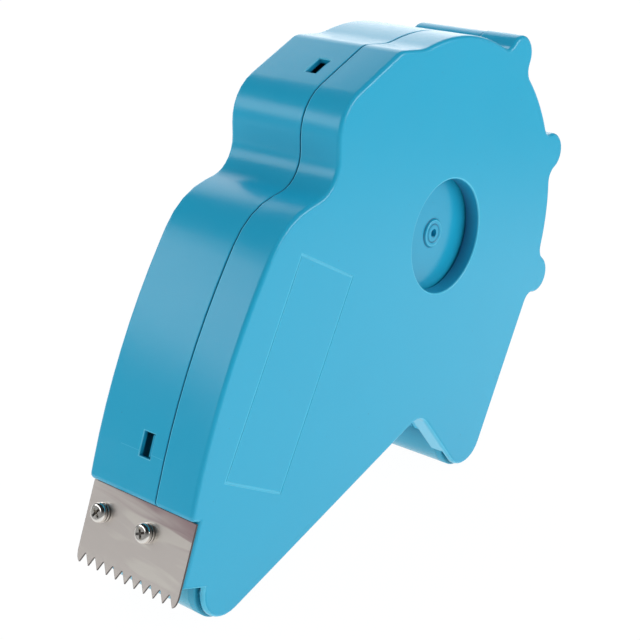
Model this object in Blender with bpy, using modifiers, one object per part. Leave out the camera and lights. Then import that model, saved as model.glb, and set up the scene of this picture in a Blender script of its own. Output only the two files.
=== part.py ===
"""Masking tape applicator: a two-shell moulded case that holds one wide roll of tape.

The case stands on two rollers, nose towards -X and heel towards +X. The wide shell is
at +Y and the narrow shell, the cover, is at -Y. Metres, +Z up, ground at Z = 0.
"""
import math

import bmesh
import bpy
from mathutils import Matrix, Vector

# Case: overall sizes
CASE_WIDTH = 0.056
COVER_DEPTH = 0.0195
WALL = 0.0025
SEAM_GAP = 0.0003
SEAM_RELIEF = 0.0002
EDGE_ROUND = 0.0018
FIT_GAP = 0.0003
HEAD_RADIUS = 0.085
CUT_OVERRUN = 0.010

# Case: height of the head's centre and reach of the rollers, as shares of the head radius
HEAD_HEIGHT_SHARE = 1.4
NOSE_REACH_SHARE = 1.6553
HEEL_REACH_SHARE = 0.2565

# Case: bumps round the head that house the closing pins
BUMP_RADIUS = 0.0085
BUMP_OUTSET = 0.0028
BUMP_FILLET = 0.006
BUMP_FIRST_ANGLE = math.radians(-26.8)
BUMP_PITCH = math.radians(39.3)
BUMP_COUNT = 3
COVER_BUMP_PROUD = 0.0004

# Case: corners of the front outline from the head's centre and their roundings, as shares
# of the head radius: end of the head, hump's top and foot, saddle, shoulder and front
FRONT_SHARES = (
    (-0.218, 0.978, 0.294),
    (-0.401, 0.999, 0.106),
    (-0.867, 0.806, 0.235),
    (-0.867, 0.447, 0.165),
    (-1.226, 0.396, 0.400),
    (-1.678, -0.232, 3.529),
)
RIM_END_SHARE = (-1.873, -0.813)
RIM_END_ROUND = 0.0022
HEAD_TOP_ANGLE = math.radians(99.0)

# Case: underside, notch and the lips beside the rollers
UNDERSIDE_RISE = math.radians(17.2)
HEEL_FRONT_FALL = math.radians(52.0)
NOTCH_ROUND = 0.010
LIP_RADIUS = 0.0136
MOUTH_LENGTH = 0.024
STRIP_DEPTH = 0.0086
NOTCH_STEP = 0.0045

# Blade and its seat
BLADE_TILT = math.radians(22.5)
BLADE_SIDE_GAP = 0.00035
BLADE_LENGTH = 0.0332
BLADE_THICKNESS = 0.0008
BLADE_TOP_GAP = 0.0006
TOOTH_COUNT = 11
TOOTH_DEPTH = 0.0048
TOOTH_EDGE = 0.0020
TOOTH_GULLET = 0.0006
TOOTH_SIDE_SHARES = ((0.0, 0.0), (0.10, 0.40), (0.42, 0.78))
RIM_OVERHANG = 0.0035
SEAT_LENGTH = 0.0256

# Blade fixings
SCREW_DROP = 0.0109
SCREW_FROM_FACE = 0.0089
SCREW_FROM_SEAM = 0.0031
SCREW_SHANK_RADIUS = 0.0019
SCREW_END_PROUD = 0.0010
SCREW_HEAD_RADIUS = 0.0040
SCREW_HEAD_HEIGHT = 0.0026
SCREW_HEAD_ROUND = 0.0016
RECESS_LENGTH = 0.0046
RECESS_WIDTH = 0.0010
RECESS_DEPTH = 0.0016
WASHER_RADIUS = 0.0040
WASHER_THICKNESS = 0.0012
WASHER_SPLIT = 0.0009
STACK_GAP = 0.0002
NUT_PLATE_THICKNESS = 0.0025
NUT_PLATE_HEIGHT = 0.0090
NUT_PLATE_MARGIN = 0.0048
NUT_PLATE_ROUND = 0.0012

# Rollers, their end bushes and their axles
ROLLER_RADIUS = 0.01475
ROLLER_END_GAP = 0.0015
ROLLER_WALL = 0.0025
ROLLER_CLEARANCE = 0.0008
ROLLER_POCKET = 0.0002
BUSH_FLANGE = 0.0030
BUSH_PLUG = 0.0060
BUSH_ROUND = 0.0009
AXLE_RADIUS = 0.0025
AXLE_SEAT_DEPTH = 0.0012
AXLE_CHAMFER = 0.0004
AXLE_BOSS_WALL = 0.0020
AXLE_BOSS_HEIGHT = 0.0007

# Hub, its post and the round window in the cover
WINDOW_RADIUS = 0.025
WINDOW_DEPTH = 0.0066
WINDOW_TAPER = 0.0004
WINDOW_EDGE_ROUND = 0.0007
COLLAR_WALL = 0.0022
HUB_RADIUS = 0.0372
HUB_WALL = 0.0022
HUB_END_GAP = 0.0010
HUB_END_WALL = 0.0025
HUB_END_ROUND = 0.0010
HUB_SLEEVE_WALL = 0.0020
HUB_SLEEVE_SHORT = 0.0045
HUB_WEB_COUNT = 6
HUB_WEB_THICKNESS = 0.0018
HUB_WEB_SETBACK = 0.0144
HUB_RIB_COUNT = 6
HUB_RIB_HEIGHT = 0.0007
HUB_RIB_WIDTH = 0.0030
HUB_RIB_SETBACK = 0.0028
HUB_BOSS_RADIUS = 0.00625
HUB_BOSS_HEIGHT = 0.0009
HUB_PIP_RADIUS = 0.0019
HUB_PIP_DEPTH = 0.0024
HUB_GROOVE_RADIUS = 0.0040
HUB_GROOVE_WIDTH = 0.0009
HUB_GROOVE_DEPTH = 0.0005
POST_RADIUS = 0.0060
POST_BORE_RADIUS = 0.0036
POST_BORE_DEPTH = 0.030
POST_FOOT_RADIUS = 0.0095
POST_FOOT_HEIGHT = 0.0030
POST_CHAMFER = 0.0008

# Closing pins on the cover and their sockets in the main case
PIN_RADIUS = 0.0022
PIN_REACH = 0.0085
PIN_BASE_RADIUS = 0.0036
PIN_CHAMFER = 0.0007
SOCKET_WALL = 0.0018
SOCKET_DEPTH = 0.0110

# Snap hooks and their windows in the main case
SNAP_WINDOW_LENGTH = 0.0098
SNAP_WINDOW_WIDTH = 0.0059
SNAP_WINDOW_FROM_SEAM = 0.0067
SNAP_SIDE_GAP = 0.0006
SNAP_ARM_THICKNESS = 0.0018
SNAP_ARM_GAP = 0.0004
SNAP_BARB_SINK = 0.0012
SNAP_BARB_FLAT = 0.0015
SNAP_BARB_LENGTH = 0.0031
SNAP_FRONT_SHARE = (-1.799, -0.576)
SNAP_TOP_SHARE = (-0.602, 0.9235)

# Tabs inside the cover's rim that reach past the seam and line the two shells up
TAB_LENGTH = 0.0090
TAB_THICKNESS = 0.0013
TAB_ROOT = 0.0060
TAB_REACH = 0.0030
TAB_GAP = 0.0004
TAB_SHARES = (
    (0.603, -0.951), (0.992, -0.124), (0.847, 0.532), (0.030, 1.000), (-1.512, -0.019), (-0.907, -1.162)
)

# Guide ring for the roll's side and stiffening ribs, on the inside of both flat faces
GUIDE_RADIUS = 0.0475
GUIDE_WIDTH = 0.0020
GUIDE_HEIGHT = 0.0006
RIB_THICKNESS = 0.0015
RIB_HEIGHT = 0.0030
RIB_START_SHARES = ((-0.95, -0.12), (-0.99, -0.42), (-0.92, -0.72))
RIB_END_SHARES = ((-1.48, -0.12), (-1.60, -0.42), (-1.50, -0.72))

# Engraved frame on the cover's flat face
PANEL_LENGTH_SHARE = 1.0647
PANEL_WIDTH_SHARE = 0.4282
PANEL_CENTRE_SHARE = (-1.209, -0.353)
PANEL_TILT = math.radians(60.0)
PANEL_LINE = 0.0007
PANEL_DEPTH = 0.0003

# Facets on round stretches
ARC_STEP = math.radians(12.0)
HEAD_STEP = math.radians(3.3)
FRONT_STEP = math.radians(2.2)
EDGE_SEGMENTS = 3
ROLLER_SIDES = 32
GUIDE_SIDES = 40
WINDOW_SIDES = 56
SMALL_SIDES = 16

WELD = 0.000001
SHARP_ANGLE = math.radians(35.0)

# Places worked out from the sizes above
ALONG_Y = Vector((0, 1, 0))
NEAR_FACE = -CASE_WIDTH / 2
FAR_FACE = CASE_WIDTH / 2
SEAM = NEAR_FACE + COVER_DEPTH
BLADE_WIDTH = CASE_WIDTH - BLADE_SIDE_GAP * 2
ROLLER_LENGTH = CASE_WIDTH - (WALL + ROLLER_END_GAP) * 2
SCREW_OFFSETS = {"near": SEAM + SCREW_FROM_SEAM, "far": FAR_FACE - SCREW_FROM_FACE}
BUMP_ORBIT = HEAD_RADIUS + BUMP_OUTSET
COVER_END = SEAM - SEAM_GAP / 2
MAIN_END = SEAM + SEAM_GAP / 2
BLADE_DOWN = Vector((-math.sin(BLADE_TILT), 0, -math.cos(BLADE_TILT)))
BLADE_OUT = Vector((-math.cos(BLADE_TILT), 0, math.sin(BLADE_TILT)))
SEAT_SINK = BLADE_THICKNESS + STACK_GAP
RIM_END_FROM_HEAD = Vector((RIM_END_SHARE[0], 0, RIM_END_SHARE[1])) * HEAD_RADIUS
BLADE_TOP_FROM_HEAD = RIM_END_FROM_HEAD - BLADE_OUT * RIM_OVERHANG + BLADE_DOWN * BLADE_TOP_GAP
BLADE_TIP_FROM_HEAD = BLADE_TOP_FROM_HEAD + BLADE_DOWN * BLADE_LENGTH
REAR_BUMP_ANGLE = BUMP_FIRST_ANGLE + BUMP_PITCH
REAR_FROM_HEAD = BUMP_ORBIT * math.cos(REAR_BUMP_ANGLE) + BUMP_RADIUS + COVER_BUMP_PROUD
HEAD = Vector((-(BLADE_TIP_FROM_HEAD.x + REAR_FROM_HEAD) / 2, 0, HEAD_RADIUS * HEAD_HEIGHT_SHARE))
NOSE = Vector((HEAD.x - HEAD_RADIUS * NOSE_REACH_SHARE, 0, ROLLER_RADIUS))
HEEL = Vector((HEAD.x + HEAD_RADIUS * HEEL_REACH_SHARE, 0, ROLLER_RADIUS))
RIM_END = HEAD + RIM_END_FROM_HEAD
BLADE_TOP = HEAD + BLADE_TOP_FROM_HEAD
HUB_NEAR_END = NEAR_FACE + WINDOW_DEPTH + HUB_END_GAP

PALETTE = {
    "case_blue": ((0.035, 0.395, 0.610, 1), 0.38, 0.0),
    "hub_blue": ((0.045, 0.400, 0.600, 1), 0.42, 0.0),
    "roller_blue": ((0.060, 0.400, 0.560, 1), 0.45, 0.0),
    "stainless": ((0.560, 0.540, 0.520, 1), 0.28, 1.0),
    "nickel": ((0.720, 0.700, 0.660, 1), 0.20, 1.0),
    "steel": ((0.500, 0.500, 0.500, 1), 0.35, 1.0),
}


def clear_scene():
    for item in list(bpy.data.objects):
        bpy.data.objects.remove(item, do_unlink=True)


def new_collection(name):
    collection = bpy.data.collections.new(name)
    bpy.context.scene.collection.children.link(collection)
    return collection


def make_material(name):
    colour, roughness, metallic = PALETTE[name]
    material = bpy.data.materials.new(name)
    material.use_nodes = True
    shader = material.node_tree.nodes["Principled BSDF"]
    shader.inputs["Base Color"].default_value = colour
    shader.inputs["Roughness"].default_value = roughness
    shader.inputs["Metallic"].default_value = metallic
    return material


def flat(x, z):
    """A point or direction in the XZ plane; also a (radius, height) pair of a profile."""
    return Vector((x, 0, z))


def along(angle):
    """Unit vector in the XZ plane at an angle from +X towards +Z."""
    return flat(math.cos(angle), math.sin(angle))


def angle_of(vector):
    return math.atan2(vector.z, vector.x)


def cross_xz(first, second):
    return first.x * second.z - first.z * second.x


def arc(centre, radius, start, end, step=ARC_STEP):
    """Points of a round stretch in the XZ plane, both ends included."""
    count = max(1, math.ceil(abs(end - start) / step))
    return [centre + along(start + (end - start) * i / count) * radius for i in range(count + 1)]


def meet(point, direction, other_point, other_direction):
    """Where two lines in the XZ plane cross."""
    share = cross_xz(other_point - point, other_direction) / cross_xz(direction, other_direction)
    return point + direction * share


def rounded(corners):
    """A closed path through corners, each (point, radius, step); radius 0 keeps a corner."""
    path = []
    count = len(corners)
    for i, (point, radius, step) in enumerate(corners):
        if radius <= 0:
            path.append(point)
            continue
        back = (corners[i - 1][0] - point).normalized()
        onward = (corners[(i + 1) % count][0] - point).normalized()
        half = math.acos(max(-1.0, min(1.0, back.dot(onward)))) / 2
        middle = point + (back + onward).normalized() * radius / math.sin(half)
        start = point + back * radius / math.tan(half) - middle
        end = point + onward * radius / math.tan(half) - middle
        turn = math.atan2(cross_xz(start, end), start.dot(end))
        path += arc(middle, radius, angle_of(start), angle_of(start) + turn, step)
    return path


def plain(points):
    return [(point, 0, ARC_STEP) for point in points]


def share_point(share):
    return HEAD + flat(share[0], share[1]) * HEAD_RADIUS


def seat_point(drop, sink):
    """A point a drop below the blade's top edge and a sink behind its outer face."""
    return BLADE_TOP + BLADE_DOWN * drop - BLADE_OUT * sink


def rear_normal():
    """Outward direction of the straight rear edge, which touches heel lip and head."""
    to_heel = HEEL - HEAD
    lean = math.acos((HEAD_RADIUS - LIP_RADIUS) / to_heel.length)
    return angle_of(to_heel) + lean


def bump_centre(index):
    return HEAD + along(BUMP_FIRST_ANGLE + BUMP_PITCH * index) * BUMP_ORBIT


def head_foot(index, side, radius):
    """Centre of the fillet between a bump and the head's round rim, and its direction."""
    orbit = HEAD_RADIUS + BUMP_FILLET
    reach = radius + BUMP_FILLET
    spread = math.acos((BUMP_ORBIT ** 2 + orbit ** 2 - reach ** 2) / (2 * BUMP_ORBIT * orbit))
    direction = BUMP_FIRST_ANGLE + BUMP_PITCH * index + side * spread
    return HEAD + along(direction) * orbit, direction


def rear_foot(radius):
    """Centre of the fillet between the straight rear edge and the first bump."""
    outward = along(rear_normal())
    upward = flat(-outward.z, outward.x)
    centre = bump_centre(0)
    lift = HEAD_RADIUS + BUMP_FILLET - (centre - HEAD).dot(outward)
    return centre + outward * lift - upward * math.sqrt((radius + BUMP_FILLET) ** 2 - lift ** 2)


def short_turn(start, end):
    return (end - start + math.pi) % (2 * math.pi) - math.pi


def foot_arc(foot, start, bump):
    """The fillet at a bump's foot, from a start direction round to the bump."""
    end = angle_of(bump - foot)
    return arc(foot, BUMP_FILLET, start, start + short_turn(start, end))


def head_path(radius):
    """The head's rim from the rear edge up to the head's top, with its bumps."""
    path = []
    for i in range(BUMP_COUNT):
        bump = bump_centre(i)
        if i == 0:
            foot = rear_foot(radius)
            path += foot_arc(foot, rear_normal() + math.pi, bump)
        else:
            foot, direction = head_foot(i, -1, radius)
            path += arc(HEAD, HEAD_RADIUS, last, direction, HEAD_STEP)[1:-1]
            path += foot_arc(foot, direction + math.pi, bump)
        end_foot, last = head_foot(i, 1, radius)
        start = angle_of(foot - bump)
        sweep = (angle_of(end_foot - bump) - start) % (2 * math.pi)
        path += arc(bump, radius, start, start + sweep)[1:-1]
        path += foot_arc(end_foot, last + math.pi, bump)[::-1]
    path += arc(HEAD, HEAD_RADIUS, last, HEAD_TOP_ANGLE, HEAD_STEP)[1:]
    return path


def underside_start():
    return NOSE + along(UNDERSIDE_RISE - math.pi / 2) * LIP_RADIUS


def heel_front_start():
    return HEEL + along(-math.pi / 2 - HEEL_FRONT_FALL) * LIP_RADIUS


def notch_corner(step=0):
    """The notch's top corner, or that of the wall a step behind its heel side."""
    heel_line = heel_front_start() + along(math.pi / 2 - HEEL_FRONT_FALL) * step
    return meet(underside_start(), along(UNDERSIDE_RISE), heel_line, along(-HEEL_FRONT_FALL))


def ledge_end():
    """Where the ledge under the blade seat runs into the nose lip."""
    corner = seat_point(SEAT_LENGTH, SEAT_SINK)
    direction = along(-BLADE_TILT)
    ahead = (NOSE - corner).dot(direction)
    aside = (NOSE - corner - direction * ahead).length
    return corner + direction * (ahead - math.sqrt(LIP_RADIUS ** 2 - aside ** 2))


def case_outline(bump_radius):
    """The side outline of a shell, anticlockwise seen from -Y, from the nose lip on."""
    full = 2 * math.pi
    lip_start = angle_of(ledge_end() - NOSE) % full
    lip_end = UNDERSIDE_RISE - math.pi / 2 + full
    corners = plain(arc(NOSE, LIP_RADIUS, lip_start, lip_end))
    corners.append((notch_corner(), NOTCH_ROUND, ARC_STEP))
    heel_start = full - math.pi / 2 - HEEL_FRONT_FALL
    corners += plain(arc(HEEL, LIP_RADIUS, heel_start, rear_normal() + full))
    corners += plain(head_path(bump_radius))
    for share in FRONT_SHARES:
        radius = share[-1] * HEAD_RADIUS
        step = FRONT_STEP if radius > HEAD_RADIUS else ARC_STEP
        corners.append((share_point(share), radius, step))
    seat_top = RIM_END - BLADE_OUT * (RIM_OVERHANG + SEAT_SINK)
    corners += plain([RIM_END, seat_top, seat_point(SEAT_LENGTH, SEAT_SINK)])
    return rounded(corners)


def add_object(name, mesh, collection, material):
    item = bpy.data.objects.new(name, mesh)
    collection.objects.link(item)
    if material is not None:
        mesh.materials.clear()
        mesh.materials.append(material)
    return item


def mesh_object(name, shape, collection, material=None):
    """An object from a bmesh, which is freed."""
    mesh = bpy.data.meshes.new(name)
    shape.to_mesh(mesh)
    shape.free()
    return add_object(name, mesh, collection, material)


def evaluated_mesh(item):
    """The object's shape with its modifiers or curve settings, welded."""
    bpy.context.view_layer.update()
    graph = bpy.context.evaluated_depsgraph_get()
    mesh = bpy.data.meshes.new_from_object(item.evaluated_get(graph))
    shape = bmesh.new()
    shape.from_mesh(mesh)
    bmesh.ops.remove_doubles(shape, verts=shape.verts, dist=WELD)
    bmesh.ops.dissolve_degenerate(shape, edges=shape.edges, dist=WELD)
    shape.to_mesh(mesh)
    shape.free()
    return mesh


def settled(item, material=None):
    """The same object as a plain mesh, at the same place."""
    mesh = evaluated_mesh(item)
    name = item.name
    collection = item.users_collection[0]
    place = item.matrix_world.copy()
    bpy.data.objects.remove(item, do_unlink=True)
    fresh = add_object(name, mesh, collection, material)
    fresh.matrix_world = place
    return fresh


def turned(name, profile, sides, place, direction, collection, material=None, ring=False):
    """A turned piece; the profile runs down its outer side and turns about the direction."""
    shape = bmesh.new()
    points = [shape.verts.new(point) for point in profile]
    for first, second in zip(points, points[1:]):
        shape.edges.new((first, second))
    if ring:
        shape.edges.new((points[-1], points[0]))
    item = mesh_object(name, shape, collection, material)
    screw = item.modifiers.new("turn", "SCREW")
    screw.axis = "Z"
    screw.angle = 2 * math.pi
    screw.steps = sides
    screw.render_steps = sides
    screw.use_merge_vertices = True
    screw.merge_threshold = WELD
    item.location = place
    item.rotation_euler = Vector((0, 0, 1)).rotation_difference(direction).to_euler()
    return item


def rod(name, radius, start, end, collection, sides=SMALL_SIDES, chamfer=0, material=None):
    """A round bar between two points, with both ends chamfered alike."""
    length = (end - start).length
    profile = [flat(0, length), flat(radius - chamfer, length)]
    if chamfer > 0:
        profile += [flat(radius, length - chamfer), flat(radius, chamfer)]
    profile += [flat(radius - chamfer, 0), flat(0, 0)]
    return turned(name, profile, sides, start, end - start, collection, material)


def slab(name, path, start, end, collection, material=None):
    """A flat outline in the XZ plane with its thickness between two Y values."""
    curve = bpy.data.curves.new(name, "CURVE")
    curve.dimensions = "2D"
    curve.fill_mode = "BOTH"
    curve.extrude = (end - start) / 2
    spline = curve.splines.new("POLY")
    spline.points.add(len(path) - 1)
    for point, place in zip(spline.points, path):
        point.co = (place.x, place.z, 0, 1)
    spline.use_cyclic_u = True
    item = bpy.data.objects.new(name, curve)
    collection.objects.link(item)
    item.location = (0, (start + end) / 2, 0)
    item.rotation_euler = (math.pi / 2, 0, 0)
    return settled(item, material)


def sheet(name, path, thickness, collection, material):
    """A flat sheet in its own XY plane, thickened evenly to both sides."""
    shape = bmesh.new()
    border = [shape.verts.new((point.x, point.z, 0)) for point in path]
    edges = [shape.edges.new((border[i - 1], border[i])) for i in range(len(border))]
    bmesh.ops.contextual_create(shape, geom=edges)
    item = mesh_object(name, shape, collection, material)
    solidify = item.modifiers.new("thickness", "SOLIDIFY")
    solidify.thickness = thickness
    solidify.offset = 0
    return item


def box(name, size, place, rotation, collection, material=None):
    shape = bmesh.new()
    bmesh.ops.create_cube(shape, size=1)
    bmesh.ops.scale(shape, vec=size, verts=shape.verts)
    item = mesh_object(name, shape, collection, material)
    item.location = place
    item.rotation_euler = rotation
    return item


def combine(target, tool, operation):
    """Cuts the target with a tool or joins the tool to it; the tool stays as a wire guide."""
    tool.hide_render = True
    tool.display_type = "WIRE"
    boolean = target.modifiers.new(tool.name, "BOOLEAN")
    boolean.solver = "EXACT"
    boolean.operation = operation
    boolean.object = tool
    mesh = evaluated_mesh(target)
    target.modifiers.clear()
    target.data = mesh


def smooth(item):
    item.data.shade_smooth()
    item.data.set_sharp_from_angle(angle=SHARP_ANGLE)


def case_shell(name, face, open_end, bump_radius, collection, material):
    """A plate with a rim, as an open surface thickened inwards, with rounded edges."""
    inward = math.copysign(1, open_end - face)
    shape = bmesh.new()
    border = [shape.verts.new((p.x, face, p.z)) for p in case_outline(bump_radius)]
    edges = [shape.edges.new((border[i - 1], border[i])) for i in range(len(border))]
    plate = bmesh.ops.contextual_create(shape, geom=edges)["faces"][0]
    rim = bmesh.ops.extrude_edge_only(shape, edges=edges)["geom"]
    moved = [item for item in rim if isinstance(item, bmesh.types.BMVert)]
    bmesh.ops.translate(shape, verts=moved, vec=ALONG_Y * (open_end - face))
    bmesh.ops.recalc_face_normals(shape, faces=shape.faces)
    shape.normal_update()
    if plate.normal.y * inward > 0:
        bmesh.ops.reverse_faces(shape, faces=shape.faces)
    item = mesh_object(name, shape, collection)
    solidify = item.modifiers.new("wall", "SOLIDIFY")
    solidify.thickness = WALL
    solidify.offset = -1
    solidify.use_even_offset = True
    item = settled(item, material)
    round_edges(item, front_corner_edges, RIM_END_ROUND)
    round_edges(item, lambda edge: is_plate_edge(edge, face), EDGE_ROUND)
    return item


def front_corner_edges(edge):
    """The case's sharp corner above the blade, on the outside."""
    return all((flat(vert.co.x, vert.co.z) - RIM_END).length < WELD for vert in edge.verts)


def is_plate_edge(edge, face):
    on_plate = all(abs(vert.co.y - face) < WELD for vert in edge.verts)
    tilts = [abs(side.normal.y) for side in edge.link_faces]
    return on_plate and max(tilts) - min(tilts) > math.cos(SHARP_ANGLE)


def round_edges(item, chosen, radius):
    """Bevels the chosen edges of a settled object."""
    shape = bmesh.new()
    shape.from_mesh(item.data)
    edges = [edge for edge in shape.edges if chosen(edge)]
    bmesh.ops.bevel(
        shape,
        geom=edges,
        offset=radius,
        segments=EDGE_SEGMENTS,
        profile=0.5,
        affect="EDGES",
        clamp_overlap=False,
    )
    shape.to_mesh(item.data)
    shape.free()


def plate_faces(face):
    """Y of a plate's inner face and of its middle, and the way into the case."""
    inward = math.copysign(1, -face)
    return face + inward * WALL, face + inward * WALL / 2, inward


def open_lips(shell, face, open_end, tools):
    """Cuts the rim away beside both rollers and along the tape's mouth."""
    inner, _, inward = plate_faces(face)
    start = inner - inward * ROLLER_POCKET
    end = open_end + inward * CUT_OVERRUN
    radius = ROLLER_RADIUS + ROLLER_CLEARANCE
    pocket_ends = (HEEL + ALONG_Y * start, HEEL + ALONG_Y * end)
    heel_pocket = rod("heel_pocket", radius, *pocket_ends, tools, ROLLER_SIDES)
    combine(shell, heel_pocket, "DIFFERENCE")
    forward = along(UNDERSIDE_RISE)
    down = along(UNDERSIDE_RISE - math.pi / 2)
    ceiling = LIP_RADIUS - WALL * 2
    arc_start = UNDERSIDE_RISE - math.asin(ceiling / radius)
    arc_end = UNDERSIDE_RISE + math.pi * 3 / 2
    path = arc(NOSE, radius, arc_start, arc_end)
    path.append(NOSE + down * (radius + CUT_OVERRUN))
    path.append(NOSE + down * (radius + CUT_OVERRUN) + forward * MOUTH_LENGTH)
    path.append(NOSE + down * ceiling + forward * MOUTH_LENGTH)
    low, high = sorted((start, end))
    combine(shell, slab("nose_pocket", path, low, high, tools), "DIFFERENCE")


def notch_profile(step):
    """Top and foot of the heel-side wall a step behind the notch's heel side."""
    down = along(-HEEL_FRONT_FALL)
    out = along(-math.pi / 2 - HEEL_FRONT_FALL)
    reach = LIP_RADIUS - step
    clear = ROLLER_RADIUS + ROLLER_CLEARANCE + SEAM_RELIEF
    foot = HEEL + out * reach - down * math.sqrt(clear ** 2 - reach ** 2)
    return notch_corner(step), foot


def set_back_notch(shell, face, open_end, tools):
    """Sets the wall over the heel roller back, except on a strip beside the plate."""
    _, _, inward = plate_faces(face)
    strip_end = face + inward * STRIP_DEPTH
    up = along(UNDERSIDE_RISE + math.pi / 2)
    down = along(-HEEL_FRONT_FALL)
    out = along(-math.pi / 2 - HEEL_FRONT_FALL)
    turn = UNDERSIDE_RISE + HEEL_FRONT_FALL
    start = notch_corner() - along(UNDERSIDE_RISE) * NOTCH_ROUND * math.tan(turn / 2)
    left = start - along(UNDERSIDE_RISE) * WALL

    top, foot = notch_profile(NOTCH_STEP + WALL / 2)
    below = foot + down * CUT_OVERRUN
    ceiling = up * WALL / 2
    path = [start - up * CUT_OVERRUN, start + ceiling, top + ceiling, below]
    path.append(below + out * (NOTCH_STEP + CUT_OVERRUN))
    low, high = sorted((strip_end, open_end + inward * CUT_OVERRUN))
    combine(shell, slab("notch_cut", path, low, high, tools), "DIFFERENCE")

    outer_top, outer_foot = notch_profile(NOTCH_STEP)
    inner_top, inner_foot = notch_profile(NOTCH_STEP + WALL)
    relief = up * SEAM_RELIEF
    path = [left + relief, outer_top + relief, outer_foot, inner_foot]
    path += [inner_top + up * WALL, left + up * WALL]
    low, high = sorted((strip_end - inward * WALL / 2, open_end - inward * SEAM_RELIEF))
    combine(shell, slab("notch_wall", path, low, high, tools), "UNION")

    web_outer_top, web_outer_foot = notch_profile(WALL / 2)
    corners = plain([left + ceiling])
    corners.append((web_outer_top + ceiling, NOTCH_ROUND, ARC_STEP))
    corners += plain([web_outer_foot, foot, top + up * WALL * 3 / 4, left + up * WALL * 3 / 4])
    low, high = sorted((strip_end - inward * WALL, strip_end - inward * SEAM_RELIEF))
    combine(shell, slab("notch_web", rounded(corners), low, high, tools), "UNION")


def seat_axles(shell, face, tools):
    """Low bosses with blind holes for the ends of both axles."""
    inner, middle, inward = plate_faces(face)
    seat_end = inner - inward * AXLE_SEAT_DEPTH
    boss_end = inner + inward * AXLE_BOSS_HEIGHT
    boss_radius = AXLE_RADIUS + AXLE_BOSS_WALL
    for name, centre in (("nose", NOSE), ("heel", HEEL)):
        boss_ends = (centre + ALONG_Y * middle, centre + ALONG_Y * boss_end)
        boss = rod(name + "_boss", boss_radius, *boss_ends, tools)
        combine(shell, boss, "UNION")
        start = centre + ALONG_Y * seat_end
        end = centre + ALONG_Y * (boss_end + inward * CUT_OVERRUN)
        combine(shell, rod(name + "_seat", AXLE_RADIUS + FIT_GAP, start, end, tools), "DIFFERENCE")


def add_guide_ring(shell, face, tools):
    """A low ring round the hub for the side of the roll to run on."""
    inner, middle, inward = plate_faces(face)
    height = abs(inner - middle) + GUIDE_HEIGHT
    outside = GUIDE_RADIUS + GUIDE_WIDTH
    profile = [flat(outside, height), flat(outside, 0), flat(GUIDE_RADIUS, 0), flat(GUIDE_RADIUS, height)]
    place = HEAD + ALONG_Y * middle
    ring = turned("guide_ring", profile, GUIDE_SIDES, place, ALONG_Y * inward, tools, ring=True)
    combine(shell, ring, "UNION")


def add_ribs(shell, face, tools):
    """Straight stiffening ribs inside the flat face, between the roll and the front wall."""
    inner, middle, inward = plate_faces(face)
    top = inner + inward * RIB_HEIGHT
    for start_share, end_share in zip(RIB_START_SHARES, RIB_END_SHARES):
        start = share_point(start_share)
        run = share_point(end_share) - start
        size = (run.length, abs(top - middle), RIB_THICKNESS)
        centre = start + run / 2 + ALONG_Y * (top + middle) / 2
        combine(shell, box("rib", size, centre, (0, -angle_of(run), 0), tools), "UNION")


def add_tab(cover, share, tools):
    """A tab on the rim's inside that reaches past the seam, just inside the other rim."""
    place, outward = rim_place(share)
    top = -(WALL + TAB_GAP)
    bottom = top - TAB_THICKNESS
    root = COVER_END - TAB_ROOT
    step = COVER_END - SEAM_RELIEF
    end = MAIN_END + TAB_REACH
    profile = [
        flat(root, -WALL / 2),
        flat(root, top),
        flat(root + TAB_THICKNESS, bottom),
        flat(end, bottom),
        flat(end, top - TAB_GAP),
        flat(end - TAB_GAP, top),
        flat(step, top),
        flat(step, -WALL / 2),
    ]
    tab = slab("tab", profile, -TAB_LENGTH / 2, TAB_LENGTH / 2, tools)
    orient(tab, place, ALONG_Y, outward)
    combine(cover, tab, "UNION")


def make_cover(parts, tools, materials):
    """The narrow shell with the round window, the closing pins and the engraved frame."""
    bump_radius = BUMP_RADIUS + COVER_BUMP_PROUD
    material = materials["case_blue"]
    cover = case_shell("side_cover", NEAR_FACE, COVER_END, bump_radius, parts, material)
    open_lips(cover, NEAR_FACE, COVER_END, tools)
    set_back_notch(cover, NEAR_FACE, COVER_END, tools)
    seat_axles(cover, NEAR_FACE, tools)
    add_guide_ring(cover, NEAR_FACE, tools)
    add_ribs(cover, NEAR_FACE, tools)
    for share in TAB_SHARES:
        add_tab(cover, share, tools)
    inner, middle, _ = plate_faces(NEAR_FACE)
    for i in range(BUMP_COUNT):
        centre = bump_centre(i)
        base_start = centre + ALONG_Y * middle
        base_end = centre + ALONG_Y * COVER_END
        combine(cover, rod("pin_base", PIN_BASE_RADIUS, base_start, base_end, tools), "UNION")
        pin_start = base_end - ALONG_Y * WALL
        pin_end = base_end + ALONG_Y * PIN_REACH
        pin = rod("pin", PIN_RADIUS, pin_start, pin_end, tools, chamfer=PIN_CHAMFER)
        combine(cover, pin, "UNION")
    collar_start = HEAD + ALONG_Y * middle
    collar_end = HEAD + ALONG_Y * (NEAR_FACE + WINDOW_DEPTH)
    collar = rod("collar", WINDOW_RADIUS + COLLAR_WALL, collar_start, collar_end, tools, WINDOW_SIDES)
    combine(cover, collar, "UNION")
    combine(cover, window_cutter(tools), "DIFFERENCE")
    combine(cover, panel_cutter(tools), "DIFFERENCE")
    smooth(cover)
    return cover


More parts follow.
